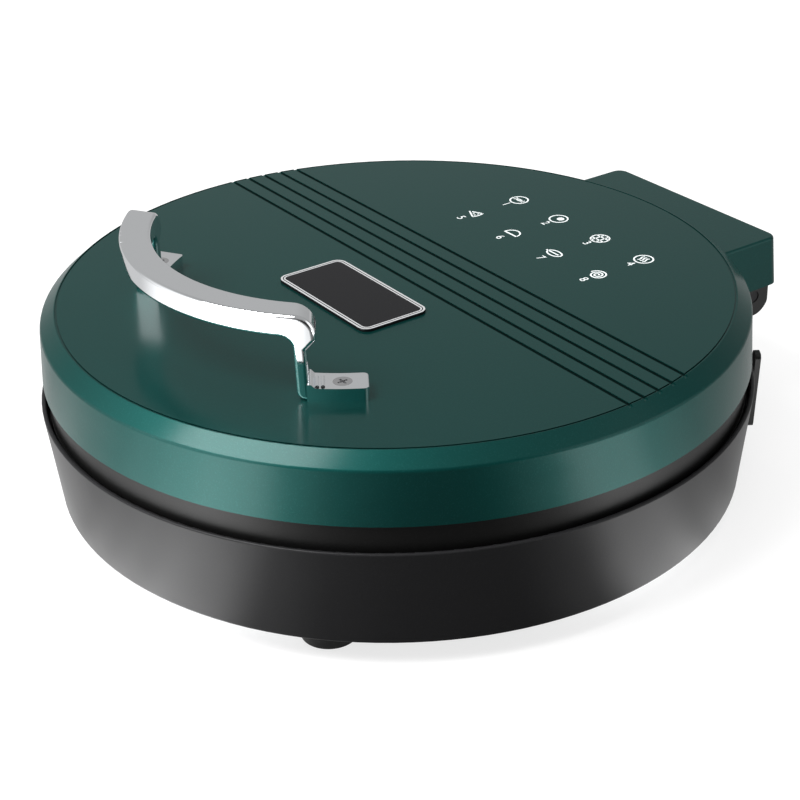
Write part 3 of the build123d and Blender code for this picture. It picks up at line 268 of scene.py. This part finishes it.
def floor_material():
    """White paper: part glow, part lamp light, with the cards and strips for reflected rays."""
    material = bpy.data.materials.new("floor_paper")
    material.use_nodes = True
    tree = material.node_tree
    tree.nodes.clear()
    spoke = vector_maths(tree, "SUBTRACT", object_place(tree), Vector((0, axis_y, 0)))
    level = level_by_bearing(tree, spoke, FLOOR_STOPS)
    glossy, camera_ray = reflected_rays(tree)
    seen = maths(tree, "MULTIPLY", camera_ray, FLOOR_GLOW)
    glow = maths(tree, "ADD", seen, maths(tree, "MULTIPLY", glossy, level))
    paper = mix(tree, glossy, rgb(FLOOR_PAPER, FLOOR_PAPER, FLOOR_PAPER), BLACK, "RGBA")
    matt = add(tree, "ShaderNodeBsdfDiffuse", Color=paper)
    light = add(tree, "ShaderNodeEmission", Color=WHITE, Strength=glow)
    both = tree.nodes.new("ShaderNodeAddShader")
    tree.links.new(matt.outputs[0], both.inputs[0])
    tree.links.new(light.outputs[0], both.inputs[1])
    add(tree, "ShaderNodeOutputMaterial", Surface=both.outputs[0])
    return material


def make_floor():
    """One square sheet under the pan's feet."""
    corners = [(-1, -1), (1, -1), (1, 1), (-1, 1)]
    mesh = bpy.data.meshes.new("floor")
    mesh.from_pydata([(x * FLOOR_REACH, y * FLOOR_REACH, 0) for x, y in corners], [], [(0, 1, 2, 3)])
    mesh.materials.append(floor_material())
    floor = bpy.data.objects.new("floor", mesh)
    bpy.context.scene.collection.objects.link(floor)


make_floor()
print("floor: stops", len(FLOOR_STOPS))

# %% [markdown]
# The sky is white to the eye and plain for diffuse light. Reflected rays see a soft studio: a
# grey screen behind the pan, two bright strips standing at its sides, dark before it where the
# camera is, and an even level overhead. The flat lid mirrors the screen, so the screen's level
# sets how light the green of its top is.

# %% Sky
SKY_LIGHT = 0.5
OVERHEAD_LEVEL = 0.36
OVERHEAD_FROM = 0.5
OVERHEAD_FULL = 0.85
SKY_STOPS = [
    (-180, 0.44), (-125, 0.44), (-95, 1.1), (-76, 3.0), (-52, 3.0), (-32, 0.3), (0, 0.03),
    (36, 0.03), (62, 1.4), (84, 1.2), (104, 0.25), (140, 0.34), (180, 0.44),
]


def make_sky():
    """White to the camera, the soft studio to reflected rays, a plain level for diffuse light."""
    world = bpy.data.worlds.new("studio_sky")
    world.use_nodes = True
    tree = world.node_tree
    tree.nodes.clear()
    direction = tree.nodes.new("ShaderNodeTexCoord").outputs["Generated"]
    height = add(tree, "ShaderNodeSeparateXYZ", Vector=direction).outputs["Z"]
    overhead = between(tree, height, OVERHEAD_FROM, OVERHEAD_FULL)
    reflected = mix(tree, overhead, level_by_bearing(tree, direction, SKY_STOPS), OVERHEAD_LEVEL)
    glossy, camera_ray = reflected_rays(tree)
    strength = mix(tree, camera_ray, mix(tree, glossy, SKY_LIGHT, reflected), 1.0)
    glow = add(tree, "ShaderNodeBackground", Color=WHITE, Strength=strength)
    add(tree, "ShaderNodeOutputWorld", Surface=glow.outputs[0])
    bpy.context.scene.world = world


make_sky()
print("sky: stops", len(SKY_STOPS))

# %% [markdown]
# The lamps are soft boxes, each an area lamp whose size sets how wide its highlight is. The key
# stands high on the left, where it draws the long highlight along the lid's bevel. A wide one
# above lights the floor evenly, and is left out of reflections so that the lid stays dark.

# %% Lamps
LAMP_AIM_HEIGHT = 50 * MM


def soft_box(name, azimuth, elevation, distance, size, power):
    """Square area lamp that faces the pan from an azimuth, counted as the camera's is."""
    lamp = bpy.data.lights.new(name, "AREA")
    lamp.size = size
    lamp.energy = power
    back = toward(azimuth, elevation)
    obj = bpy.data.objects.new(name, lamp)
    obj.location = back * distance + Vector((0, axis_y, LAMP_AIM_HEIGHT))
    obj.rotation_mode = "QUATERNION"
    obj.rotation_quaternion = (-back).to_track_quat("-Z", "Y")
    obj.visible_camera = False
    bpy.context.scene.collection.objects.link(obj)
    return obj


soft_box("lamp_key", azimuth=-6, elevation=54, distance=1.5, size=0.8, power=27)
above = soft_box("lamp_above", azimuth=20, elevation=84, distance=1.8, size=1.6, power=16)
above.visible_glossy = False
print("lamps", len(bpy.data.lights))

# %% [markdown]
# Some effects are shared by many finishes, so each is a node group, which is built once and then
# placed in each material with that material's own values. A group has named inputs and outputs,
# and the two helpers here make such a group and place it.

# %% Node groups


def new_group(name, inputs, outputs):
    """Empty shader group with named number inputs and outputs, given as a dict and a list."""
    tree = bpy.data.node_groups.new(name, "ShaderNodeTree")
    for label, value in inputs.items():
        socket = tree.interface.new_socket(name=label, in_out="INPUT", socket_type="NodeSocketFloat")
        socket.default_value = value
    for label in outputs:
        tree.interface.new_socket(name=label, in_out="OUTPUT", socket_type="NodeSocketFloat")
    entry = tree.nodes.new("NodeGroupInput")
    leave = tree.nodes.new("NodeGroupOutput")
    return tree, entry.outputs, leave.inputs


def grouped(tree, group, **inputs):
    """Place a shared group in a material with its own values."""
    node = tree.nodes.new("ShaderNodeGroup")
    node.node_tree = group
    for name, value in inputs.items():
        feed(tree, node.inputs[name], value)
    return node.outputs


print("group helpers", new_group.__name__, grouped.__name__)

# %% [markdown]
# Grain is the tiny unevenness of sprayed paint and moulded plastic. It is two sizes of noise, and
# it reads Object coordinates, so it stays fixed to the piece. Its scale is how fine it is.

# %% Grain
COARSE_SCALE = 0.27
SPECKLE_FROM = 0.52
SPECKLE_FULL = 0.72


def make_grain_group():
    """Two sizes of noise: their sum is a height for bump, and the fine one a speckle from 0 to 1."""
    inputs = {"Scale": 900.0, "Coarse": 0.4}
    tree, given, result = new_group("surface_grain", inputs, ["Height", "Speckle"])
    place = object_place(tree)
    fine = add(tree, "ShaderNodeTexNoise", Vector=place, Scale=given["Scale"], Detail=2.0)
    slow = maths(tree, "MULTIPLY", given["Scale"], COARSE_SCALE)
    broad = add(tree, "ShaderNodeTexNoise", Vector=place, Scale=slow, Detail=1.0)
    mixed = maths(tree, "MULTIPLY", broad.outputs["Fac"], given["Coarse"])
    feed(tree, result["Height"], maths(tree, "ADD", fine.outputs["Fac"], mixed))
    feed(tree, result["Speckle"], between(tree, fine.outputs["Fac"], SPECKLE_FROM, SPECKLE_FULL))
    return tree


grain_group = make_grain_group()
print("group", grain_group.name)

# %% [markdown]
# Handling is the faint, broad change of gloss that fingers and wiping leave. It is one slow
# noise, as wide as a hand, that moves the roughness a little up and down.

# %% Handling
HANDLING_SCALE = 14.0


def make_handling_group():
    """Slow noise, a hand's width across, added to a roughness."""
    inputs = {"Roughness": 0.4, "Amount": 0.05}
    tree, given, result = new_group("handling", inputs, ["Roughness"])
    slow = add(
        tree, "ShaderNodeTexNoise", Vector=object_place(tree), Scale=HANDLING_SCALE, Detail=3.0
    )
    centred = maths(tree, "SUBTRACT", slow.outputs["Fac"], 0.5)
    change = maths(tree, "MULTIPLY", centred, given["Amount"])
    feed(tree, result["Roughness"], maths(tree, "ADD", given["Roughness"], change, clamp=True))
    return tree


handling_group = make_handling_group()
print("group", handling_group.name)

# %% [markdown]
# Most finishes differ only in a few numbers: colour, how much of a metal it is, roughness, how
# fine and how deep its grain is, how much lighter its speckles are, and how strongly it mirrors.
# One function writes such a material. A table then needs one row for each finish, with the
# numbers in that order, and the lid's paint starts from the same function and adds its own steps.

# %% A finish with grain
BUMP_HEIGHT = 0.4 * MM
HANDLING_SHARE = 0.12
SPECKLE_GREY = 0.02


def finish(name, colour, metallic, roughness, grain, depth, speckle=0.0, specular=0.5):
    """Principled material with grain bump, gloss that varies slowly, and speckle in its colour."""
    material = bpy.data.materials.new(name)
    material.use_nodes = True
    tree = material.node_tree
    surface = tree.nodes["Principled BSDF"].inputs
    noise = grouped(tree, grain_group, Scale=grain)
    amount = HANDLING_SHARE * roughness
    rough = grouped(tree, handling_group, Roughness=roughness, Amount=amount)
    lighter = [min(1.0, value * (1 + speckle) + SPECKLE_GREY * speckle) for value in colour]
    painted = mix(tree, noise["Speckle"], rgb(*colour), rgb(*lighter), "RGBA")
    bump = add(tree, "ShaderNodeBump", Strength=depth, Distance=BUMP_HEIGHT, Height=noise["Height"])
    feed(tree, surface["Base Color"], painted)
    feed(tree, surface["Roughness"], rough["Roughness"])
    feed(tree, surface["Normal"], bump.outputs[0])
    surface["Metallic"].default_value = metallic
    surface["Specular IOR Level"].default_value = specular
    return material


def finish_all(table):
    """One finish for each row of a table."""
    return {name: finish(name, *row) for name, row in table.items()}


print("grain height, mm", round(BUMP_HEIGHT / MM, 2))

# %% [markdown]
# The black parts are satin plastics and paint, and the hinge pin is blackened steel. They are
# near black, so nearly all that shows on them is gloss, and roughness is the number that tells
# them apart: the nameplate is smoothest, the drum is satin, the ring under the lid is duller,
# and the rubber feet hardly shine at all.

# %% Black parts
black_parts = finish_all({
    "base_black": ((0.015, 0.015, 0.016), 0.0, 0.34, 1500, 0.03, 0.1, 0.15),
    "ring_plastic": ((0.006, 0.006, 0.006), 0.0, 0.42, 1200, 0.06, 0.1, 0.2),
    "hinge_plastic": ((0.004, 0.005, 0.005), 0.0, 0.4, 1200, 0.05, 0.1),
    "inlet_plastic": ((0.012, 0.012, 0.012), 0.0, 0.5, 1000, 0.1),
    "foot_rubber": ((0.012, 0.012, 0.012), 0.0, 0.65, 800, 0.2, 0.2),
    "plate_black": ((0.006, 0.006, 0.007), 0.0, 0.22, 1500, 0.02, 0.0, 0.12),
    "black_steel": ((0.03, 0.03, 0.032), 0.6, 0.45, 900, 0.05, 0.2),
})
print("black parts", len(black_parts))

# %% [markdown]
# Inside, the cooking side is a dark non-stick coating on cast aluminium, with pale flecks in it.
# Sheet parts are zinc plated, the reflectors are bright aluminium, and the heating tubes have
# gone dark with heat. The chrome of the handle is the one true mirror. The wires keep their
# pale woven sleeves and end in blocks of pale plastic, which stand the heat.

# %% Metals, coating and insulation
inner_parts = finish_all({
    "handle_chrome": ((0.93, 0.95, 0.97), 1.0, 0.06, 300, 0.004),
    "plate_steel": ((0.5, 0.51, 0.52), 1.0, 0.35, 700, 0.05),
    "bottom_steel": ((0.46, 0.47, 0.48), 1.0, 0.42, 420, 0.08, 0.3),
    "screw_steel": ((0.6, 0.6, 0.61), 1.0, 0.25, 900, 0.03),
    "pin_steel": ((0.65, 0.65, 0.66), 1.0, 0.2, 900, 0.03),
    "tube_steel": ((0.2, 0.19, 0.18), 1.0, 0.5, 700, 0.1, 0.3),
    "reflector_aluminium": ((0.75, 0.76, 0.77), 1.0, 0.3, 600, 0.05),
    "tray_coating": ((0.022, 0.022, 0.023), 0.1, 0.38, 1600, 0.12, 1.2),
    "terminal_plastic": ((0.7, 0.68, 0.62), 0.0, 0.55, 900, 0.05),
    "lead_sleeve": ((0.65, 0.62, 0.55), 0.0, 0.8, 2500, 0.3, 0.2),
})
print("metals, coating and insulation", len(inner_parts))

# %% [markdown]
# The lid's paint is a metallic green under a thin satin lacquer. Metal flakes give the colour,
# which is why the green goes almost black where nothing bright is mirrored, and the lacquer
# gives the whitish sheen near the lamps. The floors of the grooves get painted shade, a darker
# green in place of the shadow that falls in them, and they are found by height: they lie a little
# under the lid's flat top. The cover's own inside lies lower still, and keeps the plain green.

# %% Lid paint
GROOVE_FLOOR = 0.7 * MM
GROOVE_EDGE = 0.2 * MM
COVER_INSIDE = 1.2 * MM
LID_FLAT_RADIUS = 157 * MM
PAINT_GREEN = (0.002, 0.056, 0.05)
EDGE_GREEN = (0.45, 0.75, 0.7)
# Painted shade: a near-black green laid on the groove floors in place of their shadow.
GROOVE_SHADE_GREEN = (0.001, 0.01, 0.009)
LACQUER = {"Coat Weight": 1.0, "Coat Roughness": 0.19, "Coat IOR": 1.26}


def groove_mask(tree):
    """Where the painted shade goes: 1 on the groove floors, a little under the flat top, within its
    radius.
    """
    parts = add(tree, "ShaderNodeSeparateXYZ", Vector=object_place(tree)).outputs
    sideways = maths(tree, "MULTIPLY", parts["X"], parts["X"])
    lengthways = maths(tree, "SUBTRACT", parts["Y"], axis_y)
    square = maths(tree, "MULTIPLY", lengthways, lengthways)
    radius = maths(tree, "SQRT", maths(tree, "ADD", sideways, square))
    inside = maths(tree, "LESS_THAN", radius, LID_FLAT_RADIUS)
    deep = between(tree, parts["Z"], lid_top - GROOVE_FLOOR, lid_top - GROOVE_EDGE, 1.0, 0.0)
    outside = maths(tree, "GREATER_THAN", parts["Z"], lid_top - COVER_INSIDE)
    return maths(tree, "MULTIPLY", maths(tree, "MULTIPLY", deep, inside), outside)


def make_lid_paint():
    """Metallic green with lacquer, with painted shade on the groove floors of the flat top."""
    material = finish("lid_green", PAINT_GREEN, 0.9, 0.56, 1500, 0.12, 0.15)
    tree = material.node_tree
    surface = tree.nodes["Principled BSDF"].inputs
    painted = surface["Base Color"].links[0].from_socket
    # Painted shade: the groove floors are darkened towards the near-black green.
    darkened = mix(tree, groove_mask(tree), painted, rgb(*GROOVE_SHADE_GREEN), "RGBA")
    feed(tree, surface["Base Color"], darkened)
    surface["Specular Tint"].default_value = rgb(*EDGE_GREEN)
    for socket, value in LACQUER.items():
        surface[socket].default_value = value
    return material


finishes = {**black_parts, **inner_parts, "lid_green": make_lid_paint()}
print("finishes", len(finishes))

# %% [markdown]
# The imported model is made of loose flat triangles, so its round walls would show facets in the
# gloss. A copy with its corners joined can be shaded smoothly. What makes a moulded part look
# right is that its flat faces stay flat and only its rounded edges bend the light. So a large
# flat face has to count more than the small ones round it, and the first step finds how large a
# flat face each triangle is part of.

# %% Flat faces made of many triangles
NORMAL_STEPS = 500
PLANE_STEPS = 100000


def read_array(items, name, kind, width):
    """One attribute of every item of a mesh, as an array with so many columns."""
    values = np.empty(len(items) * width, kind)
    items.foreach_get(name, values)
    return values.reshape(-1, width)


def flat_areas(normal, centre, area):
    """Area of the whole flat face that each triangle is part of.

    Triangles are on one flat face where their normal and their plane's distance from the origin
    agree, rounded to 1/500 and to 1/100 mm."""
    offset = np.einsum("ij,ij->i", normal, centre)
    plane = np.rint(np.column_stack([normal * NORMAL_STEPS, offset * PLANE_STEPS]))
    _, group = np.unique(plane.astype(np.int64), axis=0, return_inverse=True)
    group = group.ravel()
    return np.bincount(group, weights=area)[group]


print("planes told apart by, mm", 1 / PLANE_STEPS / MM)

# %% [markdown]
# Each corner's normal is then a sum over the faces round it, the largest counting most. Faces
# that meet it at a sharp edge are left out, so that edge stays crisp.

# %% Corner normals for smooth shading
SHARP = radians(32)


def corner_normals(mesh):
    """Sum, over the faces round a corner's vertex within SHARP of its own face, of normal times area.

    Corners are sorted by vertex, and all vertices where the same number of corners meet are
    worked out together, as one array of vertices by corners."""
    normal = read_array(mesh.polygons, "normal", np.float32, 3)
    centre = read_array(mesh.polygons, "center", np.float32, 3)
    area = read_array(mesh.polygons, "area", np.float32, 1)[:, 0]
    sides = read_array(mesh.polygons, "loop_total", np.int32, 1)[:, 0]
    vertex = read_array(mesh.loops, "vertex_index", np.int32, 1)[:, 0]
    weight = flat_areas(normal, centre, area)
    face = np.repeat(np.arange(len(sides)), sides)
    order = np.argsort(vertex, kind="stable")
    degree = np.bincount(vertex, minlength=len(mesh.vertices))
    start = np.cumsum(degree) - degree
    result = np.zeros((len(vertex), 3))
    for count in np.unique(degree[degree > 0]):
        corner = order[start[degree == count][:, None] + np.arange(count)]
        facing = normal[face[corner]]
        pull = facing * weight[face[corner]][..., None]
        close = (facing @ facing.transpose(0, 2, 1) > cos(SHARP)).astype(float)
        result[corner] = close @ pull
    length = np.linalg.norm(result, axis=1, keepdims=True)
    return result / np.maximum(length, 1e-20)


print("edges over", round(SHARP * 180 / pi), "degrees stay sharp")

# %% [markdown]
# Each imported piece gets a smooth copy, which rides on the same body and stands in for it, with
# the finish of its slot.

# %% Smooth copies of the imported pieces
JOINED_WITHIN = 0.001 * MM


def make_piece(name, mesh, body, material):
    """Make an object of a mesh, with its material, riding on a body."""
    mesh.materials.clear()
    mesh.materials.append(material)
    piece = bpy.data.objects.new(name, mesh)
    bpy.context.scene.collection.objects.link(piece)
    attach(piece, body)
    return piece


def smooth_copy(node):
    """Join the corners of a node's triangles and give them the worked-out normals."""
    name = node + "_skin"
    mesh = packed[node].data.copy()
    mesh.name = name
    work = bmesh.new()
    work.from_mesh(mesh)
    bmesh.ops.remove_doubles(work, verts=work.verts, dist=JOINED_WITHIN)
    work.to_mesh(mesh)
    work.free()
    mesh.shade_smooth()
    mesh.normals_split_custom_set(corner_normals(mesh).tolist())
    slot = slot_of[node]
    skin = make_piece(name, mesh, body_of[node], finishes[slot])
    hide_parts(node)


for node in packed:
    smooth_copy(node)
print("smooth copies", len(packed))

# %% [markdown]
# Small white signs are printed on the lid behind the grooves. A line of print is a strip along
# a path, drawn flat in millimetres, and the two rows of points at its edges are all that its
# faces need.

# %% Strips of ink
STROKE = 0.8


def band_faces(count, closed):
    """Four-sided faces between two rows of points, the second row numbered on from the first."""
    first = np.arange(count if closed else count - 1)
    after = (first + 1) % count
    return np.stack([first, after, after + count, first + count], 1)


def strip(path, width=STROKE, closed=False):
    """Points and faces of a strip along a path: two rows, half a width to each side of it.

    Sideways is the path's direction turned by a quarter, from each point's two neighbours."""
    if closed:
        ahead = np.roll(path, -1, 0) - np.roll(path, 1, 0)
    else:
        ahead = np.gradient(path, axis=0)
    ahead /= np.linalg.norm(ahead, axis=1, keepdims=True)
    side = np.stack([ahead[:, 1], -ahead[:, 0]], 1) * width / 2
    return np.concatenate([path + side, path - side]), band_faces(len(path), closed)


print("stroke, mm", STROKE)

# %% [markdown]
# A few kinds of path are enough for all the signs: part of an ellipse, a straight line and a
# wave. Each is a formula for x and y along it.

# %% Paths for the strips


def oval(centre, half_x, half_y, count=40, start=0.0, turn=2 * pi):
    """Points of an ellipse or of part of one: centre + (a cos t, b sin t)."""
    t = start + turn * np.arange(count) / (count if turn == 2 * pi else count - 1)
    return np.stack([centre[0] + half_x * np.cos(t), centre[1] + half_y * np.sin(t)], 1)


def spot(centre, radius):
    """A filled dot: a closed strip whose inner edge all but meets at the dot's middle."""
    return strip(oval(centre, radius / 2, radius / 2, 16), radius * 0.98, True)


def line(start, end, count=2):
    """Points evenly spaced from one to the other."""
    share = np.linspace(0, 1, count)[:, None]
    return np.asarray(start) * (1 - share) + np.asarray(end) * share


def wave(x, low, high, swing):
    """An upright wavy line: x + swing sin(2 pi s) as s runs up it from 0 to 1."""
    s = np.linspace(0, 1, 16)
    return np.stack([x + swing * np.sin(2 * pi * s), low + (high - low) * s], 1)


print("a straight strip has", len(strip(line((0, 0), (1, 0)))[0]), "points")

# %% [markdown]
# There are eight signs, one for each kind of food. They are simple drawings in millimetres about
# their own middles. Four of them stand in a ring: a pancake, a fried egg, a waffle and steam.

# %% Signs in a ring
SIGN_RADIUS = 4.6
circle = strip(oval((0, 0), SIGN_RADIUS, SIGN_RADIUS), closed=True)


def pancake():
    """A ring round two arcs, one bowed up and one down."""
    bowed_up = oval((0, -1.2), 2.9, 2.0, 20, 0, pi)
    bowed_down = oval((0, 1.4), 2.9, 2.0, 20, pi, pi)
    return [circle, strip(bowed_up), strip(bowed_down)]


def fried_egg():
    """A ring round a filled yolk, a little off its middle."""
    return [circle, spot((0.8, 0.6), 1.9)]


def waffle():
    """A ring crossed by two pairs of lines, each as long as its chord."""
    lines = []
    for offset in (-1.6, 1.6):
        reach = (SIGN_RADIUS**2 - offset**2) ** 0.5
        lines.append(strip(line((-reach, offset), (reach, offset))))
        lines.append(strip(line((offset, -reach), (offset, reach))))
    return [circle, *lines]


def steam():
    """A ring round three upright wavy lines."""
    return [circle, *[strip(wave(x, -2.4, 2.4, 0.5)) for x in (-1.7, 0.0, 1.7)]]


print("ring, points", len(circle[0]))

# %% [markdown]
# The other four are outlines of their own: a slice of cake, a bun, a leaf and a roll seen from
# its end, which is a spiral.

# %% Signs of their own outline


def slice_of_cake():
    """A triangle with a round back and three dots."""
    tip = (-4.2, 0)
    back = oval(tip, 7.6, 7.6, 12, radians(-25), radians(50))
    outline = np.concatenate([line(tip, back[0], 6), back, line(back[-1], tip, 6)[:-1]])
    dots = [spot(place, 0.6) for place in ((-0.6, 0.0), (1.6, 1.1), (1.6, -1.1))]
    return [strip(outline), *dots]


def bun():
    """A dome over a thicker base line."""
    dome = oval((0, -1.6), 4.4, SIGN_RADIUS, 28, 0, pi)
    return [strip(dome), strip(line((-SIGN_RADIUS, -1.9), (SIGN_RADIUS, -1.9)), 1.0)]


def leaf():
    """An oval with a stalk along its middle."""
    return [strip(oval((0, 0), SIGN_RADIUS, 2.7), closed=True), strip(line((-6.0, 0), (3.0, 0)))]


def roll_end():
    """A spiral: the radius grows steadily from 0.5 to the sign's own in two and a half turns."""
    t = np.linspace(0, 5 * pi, 90)
    radius = 0.5 + (SIGN_RADIUS - 0.5) * t / t[-1]
    return [strip(np.stack([radius * np.cos(t), radius * np.sin(t)], 1))]


SIGNS = [pancake, fried_egg, waffle, steam, slice_of_cake, bun, leaf, roll_end]
print("signs", [sign.__name__ for sign in SIGNS])

# %% [markdown]
# Print and foil have almost no thickness, but they are closed solids like everything else. So
# the flat faces are laid at the top of the layer, all facing up, and a modifier gives them their
# thickness downwards.

# %% A thin layer on the lid


def thin_layer(name, flat, faces, underside, thickness, material, slot):
    """A closed layer that rides on the lid: faces at its top, thickened down to its underside."""
    mesh = bpy.data.meshes.new(name)
    points = np.column_stack([flat, np.full(len(flat), underside + thickness)])
    mesh.from_pydata(points.tolist(), [], faces)
    work = bmesh.new()
    work.from_mesh(mesh)
    for face in work.faces:
        if face.normal.z < 0:
            face.normal_flip()
    work.to_mesh(mesh)
    work.free()
    layer = make_piece(name, mesh, "lid", material).modifiers.new("layer", "SOLIDIFY")
    layer.thickness = thickness
    layer.offset = -1


print("layer helper", thin_layer.__name__)

# %% [markdown]
# A plain number stands under each sign. Blender's own font gives its outline, which is made a
# mesh, and only the points and faces of that are kept.

# %% Numbers


def number_shape(number):
    """Points and faces of a plain number, centred on its own middle, one unit high."""
    curve = bpy.data.curves.new("number", "FONT")
    curve.body = str(number)
    curve.align_x, curve.align_y = "CENTER", "CENTER"
    mesh = bpy.data.meshes.new_from_object(bpy.data.objects.new("number", curve))
    points = read_array(mesh.vertices, "co", np.float32, 3)[:, :2].astype(float)
    faces = [list(face.vertices) for face in mesh.polygons]
    bpy.data.meshes.remove(mesh)
    bpy.data.curves.remove(curve)
    middle = (points.max(0) + points.min(0)) / 2
    return (points - middle) / np.ptp(points[:, 1]), faces


print("numbers 1 to", len(SIGNS))

# %% [markdown]
# The signs stand in two rows of four, and each is one piece with its number. The ink is a white
# print, a little rough. The places are in millimetres from the pan's axis, as the drawings are.

# %% Print the signs and their numbers
INK_THICKNESS = 0.04 * MM
INK_SLOT = "lid_green"
ROW_PLACES = (108, 79.3)
SIGNS_PER_ROW = 4
FIRST_SIGN_X = -43
SIGN_PITCH = 31.7
NUMBER_BELOW = 8.2
NUMBER_HEIGHT = 4.6
white_ink = finish("white_ink", (0.72, 0.76, 0.76), 0.0, 0.5, 2200, 0.1, 0.1)


def print_sign(number, shapes, x, y):
    """Put a sign and its number on the lid's flat top as one thin layer of ink."""
    points, faces = number_shape(number)
    shapes = [*shapes, (points * NUMBER_HEIGHT - (0, NUMBER_BELOW), faces)]
    joined = []
    start = 0
    for points, faces in shapes:
        joined += [[int(corner) + start for corner in face] for face in faces]
        start += len(points)
    flat = np.concatenate([points for points, _ in shapes]) * MM + np.array((x, y)) * MM
    on_lid = flat + (0, axis_y)
    thin_layer(f"sign_{number}", on_lid, joined, lid_top, INK_THICKNESS, white_ink, INK_SLOT)


for index, sign in enumerate(SIGNS):
    row, column = divmod(index, SIGNS_PER_ROW)
    print_sign(index + 1, sign(), FIRST_SIGN_X + column * SIGN_PITCH, ROW_PLACES[row])
print("signs printed", len(SIGNS))

# %% [markdown]
# The nameplate is bare but for a bright double line round its edge: a wide line on the very edge
# and a finer one inside it. Each is the band between two rounded rectangles, pressed from foil.

# %% Border of the nameplate
FOIL_THICKNESS = 0.06 * MM
PLATE_ROUND = 5 * MM
OUTER_LINE = (0.15 * MM, 1.05 * MM)
INNER_LINE = (1.6 * MM, 2.3 * MM)
silver_foil = finish("silver_foil", (0.86, 0.87, 0.88), 0.7, 0.34, 2000, 0.05)


def rounded_loop(inset, count=10):
    """Rounded rectangle inside the plate's edge: quarter circles about its four corner centres."""
    middle = np.array([(plate_low.x + plate_high.x) / 2, (plate_low.y + plate_high.y) / 2])
    half = np.array([plate_high.x - plate_low.x, plate_high.y - plate_low.y]) / 2 - PLATE_ROUND
    side_x = np.array([1, -1, -1, 1])[:, None]
    side_y = np.array([1, 1, -1, -1])[:, None]
    t = np.arange(4)[:, None] * pi / 2 + np.linspace(0, pi / 2, count)[None, :]
    x = middle[0] + side_x * half[0] + (PLATE_ROUND - inset) * np.cos(t)
    y = middle[1] + side_y * half[1] + (PLATE_ROUND - inset) * np.sin(t)
    return np.stack([x.ravel(), y.ravel()], 1)


def foil_line(name, insets):
    """The band between two loops, as a thin closed layer on the plate."""
    outer, inner = (rounded_loop(inset) for inset in insets)
    flat = np.concatenate([outer, inner])
    faces = band_faces(len(outer), True).tolist()
    thin_layer(name, flat, faces, plate_high.z, FOIL_THICKNESS, silver_foil, "handle_chrome")


foil_line("plate_outer_line", OUTER_LINE)
foil_line("plate_inner_line", INNER_LINE)
print("foil lines, mm wide", [round((end - start) / MM, 2) for start, end in (OUTER_LINE, INNER_LINE)])

# %% [markdown]
# The last step brings the scene up to date.

# %% Finish
bpy.context.view_layer.update()
